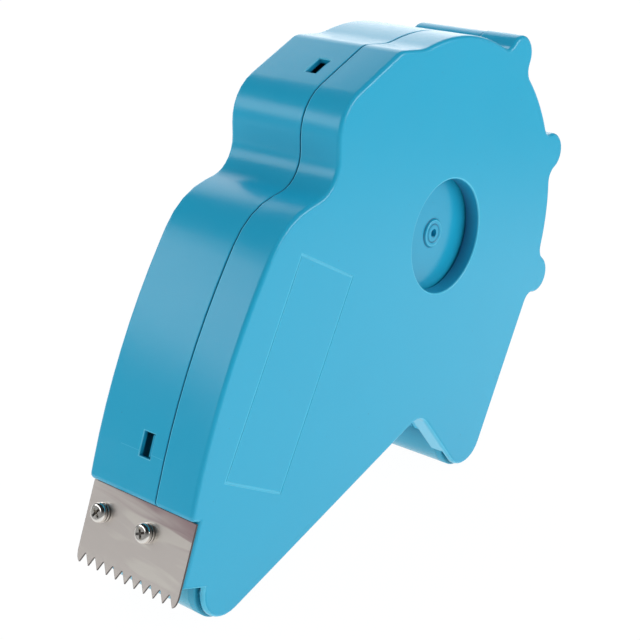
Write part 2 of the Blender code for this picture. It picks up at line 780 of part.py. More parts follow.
def window_cutter(tools):
    """The round window with a slight taper and a rounded mouth."""
    depth = WINDOW_DEPTH + CUT_OVERRUN
    mouth = arc(flat(WINDOW_RADIUS + WINDOW_EDGE_ROUND, depth - CUT_OVERRUN - WINDOW_EDGE_ROUND),
                WINDOW_EDGE_ROUND, math.pi / 2, math.pi)
    deep_radius = WINDOW_RADIUS - WINDOW_TAPER
    profile = [flat(0, depth), flat(WINDOW_RADIUS + WINDOW_EDGE_ROUND, depth)]
    profile += mouth
    profile += [flat(deep_radius, 0), flat(deep_radius, -CUT_OVERRUN), flat(0, -CUT_OVERRUN)]
    place = HEAD + ALONG_Y * (NEAR_FACE + WINDOW_DEPTH)
    return turned("window_cut", profile, WINDOW_SIDES, place, -ALONG_Y, tools)


def panel_cutter(tools):
    """A thin rectangular groove in the cover's flat face."""
    length = HEAD_RADIUS * PANEL_LENGTH_SHARE
    width = HEAD_RADIUS * PANEL_WIDTH_SHARE
    place = share_point(PANEL_CENTRE_SHARE) + ALONG_Y * NEAR_FACE
    rotation = (0, -PANEL_TILT, 0)
    cutter = box("panel_groove", (length, PANEL_DEPTH * 2, width), place, rotation, tools)
    inner_size = (length - PANEL_LINE * 2, PANEL_DEPTH + CUT_OVERRUN, width - PANEL_LINE * 2)
    island = box("panel_island", inner_size, place, rotation, tools)
    combine(cutter, island, "DIFFERENCE")
    return cutter


def make_main_case(parts, tools, materials):
    """The wide shell with the blade seat, the hub's post and the snap windows."""
    material = materials["case_blue"]
    case = case_shell("main_case", FAR_FACE, MAIN_END, BUMP_RADIUS, parts, material)
    open_lips(case, FAR_FACE, MAIN_END, tools)
    set_back_notch(case, FAR_FACE, MAIN_END, tools)
    seat_axles(case, FAR_FACE, tools)
    add_guide_ring(case, FAR_FACE, tools)
    add_ribs(case, FAR_FACE, tools)
    inner, middle, _ = plate_faces(FAR_FACE)
    foot_end = HEAD + ALONG_Y * (inner - POST_FOOT_HEIGHT)
    plate_middle = HEAD + ALONG_Y * middle
    combine(case, rod("post_foot", POST_FOOT_RADIUS, plate_middle, foot_end, tools), "UNION")
    post_end = HEAD + ALONG_Y * (HUB_NEAR_END + HUB_END_WALL + HUB_END_GAP)
    post = rod("post", POST_RADIUS, plate_middle, post_end, tools, chamfer=POST_CHAMFER)
    combine(case, post, "UNION")
    bore_start = post_end + ALONG_Y * POST_BORE_DEPTH
    bore_end = post_end - ALONG_Y * CUT_OVERRUN
    combine(case, rod("post_bore", POST_BORE_RADIUS, bore_start, bore_end, tools), "DIFFERENCE")
    socket_radius = PIN_RADIUS + FIT_GAP + SOCKET_WALL
    for i in range(BUMP_COUNT):
        centre = bump_centre(i)
        start = centre + ALONG_Y * middle
        end = centre + ALONG_Y * MAIN_END
        combine(case, rod("socket", socket_radius, start, end, tools), "UNION")
        bore_start = end + ALONG_Y * SOCKET_DEPTH
        bore_end = end - ALONG_Y * CUT_OVERRUN
        combine(case, rod("socket_bore", PIN_RADIUS + FIT_GAP, bore_start, bore_end, tools), "DIFFERENCE")
    for offset in SCREW_OFFSETS.values():
        start = screw_point(offset, -CUT_OVERRUN)
        end = screw_point(offset, CUT_OVERRUN)
        combine(case, rod("screw_hole", SCREW_SHANK_RADIUS + FIT_GAP, start, end, tools), "DIFFERENCE")
    for share in (SNAP_FRONT_SHARE, SNAP_TOP_SHARE):
        place, outward = rim_place(share)
        size = (SNAP_WINDOW_LENGTH, SNAP_WINDOW_WIDTH, WALL * 2 + CUT_OVERRUN)
        centre = place + ALONG_Y * (MAIN_END + SNAP_WINDOW_FROM_SEAM + SNAP_WINDOW_WIDTH / 2)
        rotation = (0, math.pi / 2 - angle_of(outward), 0)
        combine(case, box("snap_window", size, centre, rotation, tools), "DIFFERENCE")
    smooth(case)
    return case


def screw_point(offset, sink):
    """A point on a blade screw's axis, a sink behind the blade's outer face."""
    return seat_point(SCREW_DROP, sink) + ALONG_Y * offset


def rim_place(share):
    """The point of the rim nearest to a share point, and the rim's outward direction there."""
    target = share_point(share)
    path = case_outline(BUMP_RADIUS)
    best = None
    for i, end in enumerate(path):
        start = path[i - 1]
        run = end - start
        part = min(1.0, max(0.0, (target - start).dot(run) / run.length_squared))
        place = start + run * part
        if best is None or (target - place).length < (target - best[0]).length:
            best = (place, flat(run.z, -run.x).normalized())
    return best


def make_snap_hook(name, share, parts, materials):
    """A springy arm along the rim's inside, whose barb sits in a window of the main case."""
    place, outward = rim_place(share)
    arm_top = -(WALL + SNAP_ARM_GAP)
    arm_bottom = arm_top - SNAP_ARM_THICKNESS
    start = NEAR_FACE + WALL + FIT_GAP
    barb = MAIN_END + SNAP_WINDOW_FROM_SEAM + FIT_GAP
    end = barb + SNAP_BARB_LENGTH
    profile = [
        flat(start, arm_bottom),
        flat(end, arm_bottom),
        flat(end, arm_bottom + SNAP_ARM_THICKNESS / 2),
        flat(barb + SNAP_BARB_FLAT, -SNAP_BARB_SINK),
        flat(barb, -SNAP_BARB_SINK),
        flat(barb, arm_top),
        flat(start, arm_top),
    ]
    half = SNAP_WINDOW_LENGTH / 2 - SNAP_SIDE_GAP
    hook = slab(name, profile, -half, half, parts, materials["case_blue"])
    orient(hook, place, ALONG_Y, outward)


def orient(item, place, x_axis, y_axis):
    """Places an object with its own X and Y along two given directions."""
    turn = Matrix((x_axis, y_axis, x_axis.cross(y_axis))).transposed()
    item.matrix_world = Matrix.LocRotScale(place, turn.to_quaternion(), None)


def blade_path():
    """The blade's outline, toothed along its lower edge; +X runs with the case's +Y."""
    half = BLADE_WIDTH / 2
    root = TOOTH_DEPTH - BLADE_LENGTH
    pitch = (BLADE_WIDTH - TOOTH_EDGE * 2) / (TOOTH_COUNT - 1)
    side = [(half - TOOTH_EDGE * inset, root - TOOTH_DEPTH * drop) for inset, drop in TOOTH_SIDE_SHARES]
    path = [flat(half, 0), flat(-half, 0)] + [flat(-across, height) for across, height in side]
    for i in range(TOOTH_COUNT):
        across = TOOTH_EDGE - half + pitch * i
        path.append(flat(across, -BLADE_LENGTH))
        if i < TOOTH_COUNT - 1:
            gullet = across + pitch / 2
            path += [flat(gullet - TOOTH_GULLET / 2, root), flat(gullet + TOOTH_GULLET / 2, root)]
    path += [flat(across, height) for across, height in reversed(side)]
    return path


def make_blade(parts, tools, materials):
    blade = sheet("cutter_blade", blade_path(), BLADE_THICKNESS, parts, materials["stainless"])
    orient(blade, BLADE_TOP - BLADE_OUT * BLADE_THICKNESS / 2, ALONG_Y, -BLADE_DOWN)
    for offset in SCREW_OFFSETS.values():
        start = screw_point(offset, -CUT_OVERRUN)
        end = screw_point(offset, CUT_OVERRUN)
        combine(blade, rod("blade_hole", SCREW_SHANK_RADIUS + FIT_GAP, start, end, tools), "DIFFERENCE")


def make_nut_plate(parts, tools, materials):
    """A threaded strip behind the seat wall that takes both blade screws."""
    middle = (SCREW_OFFSETS["near"] + SCREW_OFFSETS["far"]) / 2
    half = (SCREW_OFFSETS["far"] - SCREW_OFFSETS["near"]) / 2 + NUT_PLATE_MARGIN
    rise = NUT_PLATE_HEIGHT / 2
    corners = [flat(half, rise), flat(-half, rise), flat(-half, -rise), flat(half, -rise)]
    path = rounded([(corner, NUT_PLATE_ROUND, math.radians(30)) for corner in corners])
    thickness = NUT_PLATE_THICKNESS / 2
    plate = slab("blade_nut_plate", path, -thickness, thickness, parts, materials["steel"])
    sink = SEAT_SINK + WALL + STACK_GAP + thickness
    orient(plate, screw_point(middle, sink), ALONG_Y, -BLADE_DOWN)
    for offset in SCREW_OFFSETS.values():
        start = screw_point(offset, -CUT_OVERRUN)
        end = screw_point(offset, sink + CUT_OVERRUN)
        combine(plate, rod("nut_hole", SCREW_SHANK_RADIUS + STACK_GAP, start, end, tools), "DIFFERENCE")


def recess_path():
    """The outline of a cross recess, round from its first arm."""
    length = RECESS_LENGTH / 2
    half = RECESS_WIDTH / 2
    arm = [flat(length, -half), flat(length, half), flat(half, half)]
    path = []
    for _ in range(4):
        path += arm
        arm = [flat(-point.z, point.x) for point in arm]
    return path


def make_screw(name, offset, parts, tools, materials):
    """A pan-head machine screw that reaches through the stack into the nut plate."""
    under = WASHER_THICKNESS + STACK_GAP * 2
    top = under + SCREW_HEAD_HEIGHT
    tip = -(SEAT_SINK + WALL + STACK_GAP + NUT_PLATE_THICKNESS + SCREW_END_PROUD)
    shoulder = flat(SCREW_HEAD_RADIUS - SCREW_HEAD_ROUND, top - SCREW_HEAD_ROUND)
    profile = [flat(0, top)]
    profile += arc(shoulder, SCREW_HEAD_ROUND, math.pi / 2, 0, math.radians(22.5))
    profile += [
        flat(SCREW_HEAD_RADIUS, under),
        flat(SCREW_SHANK_RADIUS, under),
        flat(SCREW_SHANK_RADIUS, tip + AXLE_CHAMFER),
        flat(SCREW_SHANK_RADIUS - AXLE_CHAMFER, tip),
        flat(0, tip),
    ]
    place = screw_point(offset, 0)
    screw = turned(name, profile, SMALL_SIDES, place, BLADE_OUT, parts, materials["nickel"])
    recess = slab("recess", recess_path(), -RECESS_DEPTH, RECESS_DEPTH, tools)
    orient(recess, place + BLADE_OUT * top, ALONG_Y, -BLADE_DOWN)
    combine(screw, recess, "DIFFERENCE")
    smooth(screw)


def make_washer(name, offset, parts, tools, materials):
    """A split spring washer between the blade and the screw head."""
    bore = SCREW_SHANK_RADIUS + FIT_GAP
    low = STACK_GAP
    high = STACK_GAP + WASHER_THICKNESS
    profile = [flat(WASHER_RADIUS, high), flat(WASHER_RADIUS, low), flat(bore, low), flat(bore, high)]
    place = screw_point(offset, 0)
    washer = turned(name, profile, SMALL_SIDES, place, BLADE_OUT, parts, materials["nickel"], ring=True)
    size = (WASHER_SPLIT, WASHER_RADIUS * 2, CUT_OVERRUN)
    split = box("washer_split", size, place, (0, 0, 0), tools)
    orient(split, place + BLADE_DOWN * WASHER_RADIUS, ALONG_Y, BLADE_DOWN)
    combine(washer, split, "DIFFERENCE")
    smooth(washer)


def make_hub(parts, tools, materials, axis):
    """The drum that carries the roll, closed at the window and open towards the post's foot."""
    far_end = FAR_FACE - WALL - HUB_END_GAP
    length = far_end - HUB_NEAR_END
    deck = length - HUB_END_WALL
    boss_top = length + HUB_BOSS_HEIGHT
    sleeve_in = POST_RADIUS + FIT_GAP
    sleeve_out = sleeve_in + HUB_SLEEVE_WALL
    sleeve_end = POST_FOOT_HEIGHT - HUB_END_GAP + FIT_GAP
    edge = flat(HUB_RADIUS - HUB_END_ROUND, length - HUB_END_ROUND)
    profile = [
        flat(0, boss_top - HUB_PIP_DEPTH),
        flat(HUB_PIP_RADIUS, boss_top - HUB_PIP_DEPTH),
        flat(HUB_PIP_RADIUS, boss_top),
        flat(HUB_GROOVE_RADIUS - HUB_GROOVE_WIDTH / 2, boss_top),
        flat(HUB_GROOVE_RADIUS, boss_top - HUB_GROOVE_DEPTH),
        flat(HUB_GROOVE_RADIUS + HUB_GROOVE_WIDTH / 2, boss_top),
        flat(HUB_BOSS_RADIUS - HUB_BOSS_HEIGHT / 2, boss_top),
        flat(HUB_BOSS_RADIUS, boss_top - HUB_BOSS_HEIGHT / 2),
        flat(HUB_BOSS_RADIUS, length),
    ]
    profile += arc(edge, HUB_END_ROUND, math.pi / 2, 0, math.radians(30))
    profile += [
        flat(HUB_RADIUS, 0),
        flat(HUB_RADIUS - HUB_WALL, 0),
        flat(HUB_RADIUS - HUB_WALL, deck),
        flat(sleeve_out, deck),
        flat(sleeve_out, sleeve_end),
        flat(sleeve_in, sleeve_end),
        flat(sleeve_in, deck),
        flat(0, deck),
    ]
    place = HEAD + ALONG_Y * far_end
    hub = turned("tape_hub", profile, WINDOW_SIDES, place, -ALONG_Y, parts, materials["hub_blue"])
    inner = sleeve_out - HUB_SLEEVE_WALL / 2
    outer = HUB_RADIUS - HUB_WALL / 2
    web_start = HUB_NEAR_END + HUB_END_WALL / 2
    web_end = far_end - HUB_WEB_SETBACK
    for i in range(HUB_WEB_COUNT):
        angle = 2 * math.pi * i / HUB_WEB_COUNT
        size = (outer - inner, web_end - web_start, HUB_WEB_THICKNESS)
        centre = HEAD + along(angle) * (inner + outer) / 2 + ALONG_Y * (web_start + web_end) / 2
        combine(hub, box("hub_web", size, centre, (0, -angle, 0), tools), "UNION")
    hub_middle = HEAD + ALONG_Y * (HUB_NEAR_END + far_end) / 2
    for i in range(HUB_RIB_COUNT):
        angle = 2 * math.pi * (i + 0.5) / HUB_RIB_COUNT
        size = (HUB_RIB_HEIGHT * 3, length - HUB_RIB_SETBACK * 2, HUB_RIB_WIDTH)
        centre = hub_middle + along(angle) * (HUB_RADIUS - HUB_RIB_HEIGHT / 2)
        combine(hub, box("hub_rib", size, centre, (0, -angle, 0), tools), "UNION")
    smooth(hub)
    attach(hub, axis)


def attach(item, axis):
    """Hangs an object on its joint's empty without moving it."""
    bpy.context.view_layer.update()
    item.parent = axis
    item.matrix_parent_inverse = axis.matrix_world.inverted()


def joint_axis(name, place, collection):
    """An empty on a joint's axis."""
    empty = bpy.data.objects.new(name, None)
    collection.objects.link(empty)
    empty.location = place
    empty.empty_display_size = AXLE_RADIUS
    bpy.context.view_layer.update()
    return empty


def make_roller(name, centre, parts, materials, axis):
    """A tube with a flanged bush in each end, turning together on a fixed axle."""
    half = ROLLER_LENGTH / 2
    tube_half = half - BUSH_FLANGE - STACK_GAP
    tube_bore = ROLLER_RADIUS - ROLLER_WALL
    profile = [
        flat(ROLLER_RADIUS, tube_half * 2),
        flat(ROLLER_RADIUS, 0),
        flat(tube_bore, 0),
        flat(tube_bore, tube_half * 2),
    ]
    start = centre - ALONG_Y * tube_half
    material = materials["roller_blue"]
    tube = turned(name, profile, ROLLER_SIDES, start, ALONG_Y, parts, material, ring=True)
    smooth(tube)
    attach(tube, axis)
    for side, end_name in ((-1, "near"), (1, "far")):
        bush = make_bush(f"{name}_bush_{end_name}", centre, side, parts, materials)
        attach(bush, axis)
    reach = FAR_FACE - WALL + AXLE_SEAT_DEPTH - FIT_GAP
    start = centre - ALONG_Y * reach
    end = centre + ALONG_Y * reach
    steel = materials["steel"]
    smooth(rod(name + "_axle", AXLE_RADIUS, start, end, parts, SMALL_SIDES, AXLE_CHAMFER, steel))


def make_bush(name, centre, side, parts, materials):
    """A flanged end bush: a plug inside the roller's tube and a flange of its full size."""
    bore = AXLE_RADIUS + FIT_GAP
    plug = ROLLER_RADIUS - ROLLER_WALL - FIT_GAP
    edge = flat(ROLLER_RADIUS - BUSH_ROUND, BUSH_FLANGE - BUSH_ROUND)
    profile = arc(edge, BUSH_ROUND, math.pi / 2, 0, math.radians(45))
    profile += [
        flat(ROLLER_RADIUS, 0),
        flat(plug, 0),
        flat(plug, -BUSH_PLUG),
        flat(bore, -BUSH_PLUG),
        flat(bore, BUSH_FLANGE),
    ]
    place = centre + ALONG_Y * side * (ROLLER_LENGTH / 2 - BUSH_FLANGE)
    material = materials["roller_blue"]
    bush = turned(name, profile, ROLLER_SIDES, place, ALONG_Y * side, parts, material, ring=True)
    smooth(bush)
    return bush


def build():
    clear_scene()
    parts = new_collection("masking_tape_applicator")
    tools = new_collection("cutters")
    materials = {name: make_material(name) for name in PALETTE}
    hub_axis = joint_axis("hub_axis", HEAD, parts)
    nose_axis = joint_axis("nose_roller_axis", NOSE, parts)
    heel_axis = joint_axis("heel_roller_axis", HEEL, parts)
    make_main_case(parts, tools, materials)
    make_cover(parts, tools, materials)
    make_snap_hook("snap_hook_front", SNAP_FRONT_SHARE, parts, materials)
    make_snap_hook("snap_hook_top", SNAP_TOP_SHARE, parts, materials)
    make_blade(parts, tools, materials)
    make_nut_plate(parts, tools, materials)
    for side, offset in SCREW_OFFSETS.items():
        make_washer(f"spring_washer_{side}", offset, parts, tools, materials)
        make_screw(f"blade_screw_{side}", offset, parts, tools, materials)
    make_hub(parts, tools, materials, hub_axis)
    make_roller("nose_roller", NOSE, parts, materials, nose_axis)
    make_roller("heel_roller", HEEL, parts, materials, heel_axis)


build()
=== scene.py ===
import math

import bmesh
import bpy
from mathutils import Matrix, Vector


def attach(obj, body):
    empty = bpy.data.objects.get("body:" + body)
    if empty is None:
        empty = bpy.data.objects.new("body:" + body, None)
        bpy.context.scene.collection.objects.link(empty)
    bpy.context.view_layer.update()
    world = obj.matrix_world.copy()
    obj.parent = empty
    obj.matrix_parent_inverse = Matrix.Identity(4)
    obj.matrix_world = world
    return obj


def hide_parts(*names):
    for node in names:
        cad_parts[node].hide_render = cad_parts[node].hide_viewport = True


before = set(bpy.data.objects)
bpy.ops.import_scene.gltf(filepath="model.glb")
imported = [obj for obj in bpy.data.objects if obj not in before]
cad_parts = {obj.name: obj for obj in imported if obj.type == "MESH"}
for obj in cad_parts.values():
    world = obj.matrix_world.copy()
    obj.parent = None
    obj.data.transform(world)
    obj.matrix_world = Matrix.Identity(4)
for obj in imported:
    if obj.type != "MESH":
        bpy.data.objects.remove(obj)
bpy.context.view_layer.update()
scene = bpy.context.scene


# Studio: the applicator stands on a plain white table under large soft lamps, and the
# camera looks down on its nose and its narrow cover, as in the photograph.
CAMERA_PLACE = (-0.4383, -0.3491, 0.3121)
CAMERA_TILT = math.radians(67.92)
CAMERA_TURN = math.radians(-50.545)
CAMERA_LENS = 79.04
SENSOR_WIDTH = 36
NEAREST_SEEN = 0.01

camera_data = bpy.data.cameras.new("camera")
camera_data.lens = CAMERA_LENS
camera_data.sensor_width = SENSOR_WIDTH
camera_data.clip_start = NEAREST_SEEN
camera = bpy.data.objects.new("camera", camera_data)
camera.location = CAMERA_PLACE
camera.rotation_euler = (CAMERA_TILT, 0, CAMERA_TURN)
scene.collection.objects.link(camera)
scene.camera = camera
scene.view_settings.view_transform = "Standard"

# Each lamp: its direction from the object (azimuth from +X and elevation, in degrees),
# its distance, its width and height, and its power. All aim at the object's middle.
LAMP_TARGET = Vector((0.0, 0.0, 0.10))
LAMPS = {
    "key_softbox": ((-62, 18), 1.8, (1.3, 0.8), 14.0),
    "left_softbox": ((134, 26), 2.0, (2.2, 0.62), 10.3),
    "rear_softbox": ((44, 23), 2.2, (2.0, 2.0), 20.5),
}
for name, ((azimuth, elevation), distance, size, power) in LAMPS.items():
    azimuth, elevation = math.radians(azimuth), math.radians(elevation)
    level, rise = distance * math.cos(elevation), distance * math.sin(elevation)
    reach = Vector((level * math.cos(azimuth), level * math.sin(azimuth), rise))
    lamp_data = bpy.data.lights.new(name, "AREA")
    lamp_data.shape = "RECTANGLE"
    lamp_data.size, lamp_data.size_y = size
    lamp_data.energy = power
    lamp = bpy.data.objects.new(name, lamp_data)
    lamp.location = LAMP_TARGET + reach
    lamp.rotation_euler = (-reach).to_track_quat("-Z", "Y").to_euler()
    scene.collection.objects.link(lamp)


def link(tree, output, target):
    """Joins two sockets; both are given as (node, socket name or number)."""
    tree.links.new(output[0].outputs[output[1]], target[0].inputs[target[1]])


def feed(tree, source, target):
    """Gives a socket its source: a (node, socket) pair is linked, and a value is set."""
    if isinstance(source, tuple) and isinstance(source[0], bpy.types.Node):
        link(tree, source, target)
    else:
        target[0].inputs[target[1]].default_value = source


def node(tree, kind, *sources, **values):
    """A shader node. Its first inputs are fed in order, and others are given by name, as its
    settings are. An input takes a value or a (node, socket) pair."""
    made = tree.nodes.new("ShaderNode" + kind)
    for key, value in values.items():
        label = key.replace("_", " ")
        if label in made.inputs:
            feed(tree, value, (made, label))
        else:
            setattr(made, key, value)
    for number, source in enumerate(sources):
        feed(tree, source, (made, number))
    return made


def ramp(tree, source, **values):
    """A smooth ramp of a value, given by its From and To limits."""
    return node(tree, "MapRange", source, interpolation_type="SMOOTHSTEP", **values)


def seen_itself(tree):
    """Light Path, and a mask of the rays that show a surface as it is, not what it lights."""
    path = node(tree, "LightPath")
    rays = ((path, "Is Camera Ray"), (path, "Is Transmission Ray"))
    return path, node(tree, "Math", *rays, operation="MAXIMUM")


# The backdrop: white to the camera, and a soft cool light from above on the object. Glossy
# surfaces mirror it grey at its foot, with a dark studio ceiling overhead.
FILL_TINT = (0.73, 0.775, 0.875, 1)
FILL_LOW = 0.25
FILL_HIGH = 0.86
FILL_RISE = 0.9
GLOSS_LOW = 0.45
GLOSS_HIGH = 0.02
GLOSS_RISE = 0.7

world = bpy.data.worlds.new("studio")
scene.world = world
world.use_nodes = True
tree = world.node_tree
tree.nodes.clear()
heading = (node(tree, "TexCoord"), "Generated")
split = node(tree, "SeparateXYZ", heading)
ceiling = ramp(tree, (split, "Z"), From_Max=FILL_RISE, To_Min=FILL_LOW, To_Max=FILL_HIGH)
fill = node(tree, "Background", Color=FILL_TINT, Strength=(ceiling, 0))
foot = ramp(tree, (split, "Z"), From_Max=GLOSS_RISE, To_Min=GLOSS_LOW, To_Max=GLOSS_HIGH)
glossy = node(tree, "Background", Strength=(foot, 0))
backdrop = node(tree, "Background", Color=(1, 1, 1, 1))
path, seen = seen_itself(tree)
mix_gloss = node(tree, "MixShader", (path, "Is Glossy Ray"), (fill, 0), (glossy, 0))
mix_seen = node(tree, "MixShader", (seen, 0), (mix_gloss, 0), (backdrop, 0))
node(tree, "OutputWorld", (mix_seen, 0))

# The table: a white board, which shows white to the camera. It glows to light the object
# from below, and glossy surfaces see a painted glow on it, brightest in a pool round the
# object and on the sweep behind it.
FLOOR_SIZE = 8
FLOOR_PAINT = (0.80, 0.80, 0.80, 1)
FLOOR_SHOWN = 0.96
TABLE_GLOW = 0.57
POOL_CENTRE = (0.08, -0.10, 0.0)
POOL_INNER = 0.18
POOL_OUTER = 0.62
POOL_BRIGHT = 1.02
POOL_DIM = 0.30
SWEEP_AWAY = (0.50, 0.866, 0.0)
SWEEP_START = 0.10
SWEEP_FULL = 0.45
SWEEP_BRIGHT = 1.10

floor_material = bpy.data.materials.new("white_table")
floor_material.use_nodes = True
tree = floor_material.node_tree
tree.nodes.clear()
place = (node(tree, "TexCoord"), "Object")
offset = node(tree, "VectorMath", place, POOL_CENTRE, operation="DISTANCE")
pool = ramp(tree, (offset, "Value"), From_Min=POOL_INNER, From_Max=POOL_OUTER,
            To_Min=POOL_BRIGHT, To_Max=POOL_DIM)
beyond = node(tree, "VectorMath", place, SWEEP_AWAY, operation="DOT_PRODUCT")
sweep = ramp(tree, (beyond, "Value"), From_Min=SWEEP_START, From_Max=SWEEP_FULL,
             To_Max=SWEEP_BRIGHT)
brighter = node(tree, "Math", (pool, 0), (sweep, 0), operation="MAXIMUM")
pool_glow = node(tree, "Emission", Strength=(brighter, 0))
paint = node(tree, "BsdfDiffuse", Color=FLOOR_PAINT)
table_glow = node(tree, "Emission", Strength=TABLE_GLOW)
lit = node(tree, "AddShader", (paint, 0), (table_glow, 0))
path, seen = seen_itself(tree)
mix_pool = node(tree, "MixShader", (path, "Is Glossy Ray"), (lit, 0), (pool_glow, 0))
glow = node(tree, "Emission", Color=(1, 1, 1, 1))
share = node(tree, "Math", (seen, 0), FLOOR_SHOWN, operation="MULTIPLY")
mix_floor = node(tree, "MixShader", (share, 0), (mix_pool, 0), (glow, 0))
node(tree, "OutputMaterial", (mix_floor, 0))

shape = bmesh.new()
bmesh.ops.create_grid(shape, x_segments=1, y_segments=1, size=FLOOR_SIZE / 2)
floor_mesh = bpy.data.meshes.new("floor")
shape.to_mesh(floor_mesh)
shape.free()
floor_mesh.materials.append(floor_material)
floor = bpy.data.objects.new("floor", floor_mesh)
scene.collection.objects.link(floor)


# Main case: the wide shell, injection moulded in blue plastic with a fine spark-eroded
# grain. Its rim carries the blade seat, two snap windows and half of each bump. Its
# outward edges are eased and carry a painted highlight, and painted shade darkens its
# seam and hollows.
CASE_BLUE = (0.0135, 0.382, 0.574, 1)
CASE_DEEP = (0.0125, 0.366, 0.556, 1)
SPECK_BLUE = (0.02, 0.19, 0.31, 1)
# The paler blue paints highlights on eased edges, lips and window mouths, and is also the witness
# line's own paler tone.
HIGHLIGHT_AND_WITNESS_BLUE = (0.090, 0.560, 0.740, 1)
# The darker blue and the added roughness paint shade into the seam and hollows.
PAINTED_SHADE_BLUE = (0.0, 0.105, 0.220, 1)
PAINTED_SHADE_DULL = 0.70
CASE_ROUGHNESS = 0.24
PLASTIC_IOR = 1.49
FLOW_SCALE = 26
SPECK_SCALE = 210
SPECK_SIZE = (0.045, 0.075)
SPECK_AMOUNT = 0.5
RARE_SPECK = 0.86
HAZE_SCALE = 75
HAZE = 0.05
GRAIN_SIZE = 4000.0
GRAIN_HEIGHT = 0.35
GRAIN_DEPTH = 0.00004
WAVE_SCALE = 38
WAVE_DEPTH = 0.0004
WAVE_STRENGTH = 0.06
SMOOTH_ANGLE = math.radians(38)
FLAT_ANGLE = math.radians(0.2)
EDGE_ANGLE = math.radians(50)
EDGE_LEAST = 1.5  # the shortest edge that is eased, in widths of the easing
EDGE_STEPS = 2
BROAD_FACES = 90
WELD = 0.000002
SEAM_EDGE = 0.00048
SEAM_PLACE = -0.0085
SEAM_REACH = 0.0004
SEAM_SHADE = 0.6
# Painted shade on the case's side of the seam.
CASE_SEAM_SHADE = 0.9
SNAP_EDGE = 0.00038
SNAP_PLACES = (Vector((-0.1146, 0.0013, 0.0700)), Vector((-0.0140, 0.0013, 0.1975)))
SNAP_REACH = 0.0085
SEAT_EDGE = 0.00035
SEAT_CORNER = Vector((-0.119057, 0, 0.048001))
SEAT_ALONG = Vector((0.382683, 0, 0.923880))
SEAT_OUT = Vector((-0.923880, 0, 0.382683))
SEAT_BAND = 0.0016
SEAT_DEPTH = (-0.0010, 0.0045)
SEAT_WALL = (0.030, 0.0025)  # the wall under the blade, by its height and depth
# Share of painted highlight on the rounded lower border of the blade seat.
SEAT_HIGHLIGHT = 0.7
LIP_TOP = 0.050
LIP_SLANT = (0.15, 0.92)
# Share of painted highlight on the lips' rounded borders.
LIP_HIGHLIGHT = 0.8
COLOUR_MIX = (6, 7, 2)  # a Mix node's sockets for its two colours, and for its result


def mixed(tree, factor, first, second):
    """One colour mixed into another by a factor, as a (node, socket) pair itself."""
    made = node(tree, "Mix", factor, data_type="RGBA")
    feed(tree, first, (made, COLOUR_MIX[0]))
    feed(tree, second, (made, COLOUR_MIX[1]))
    return made, COLOUR_MIX[2]


def noted(tree, name):
    """What an attribute of the mesh says at each place, as a (node, socket) pair."""
    return node(tree, "Attribute", attribute_type="GEOMETRY", attribute_name=name), "Fac"


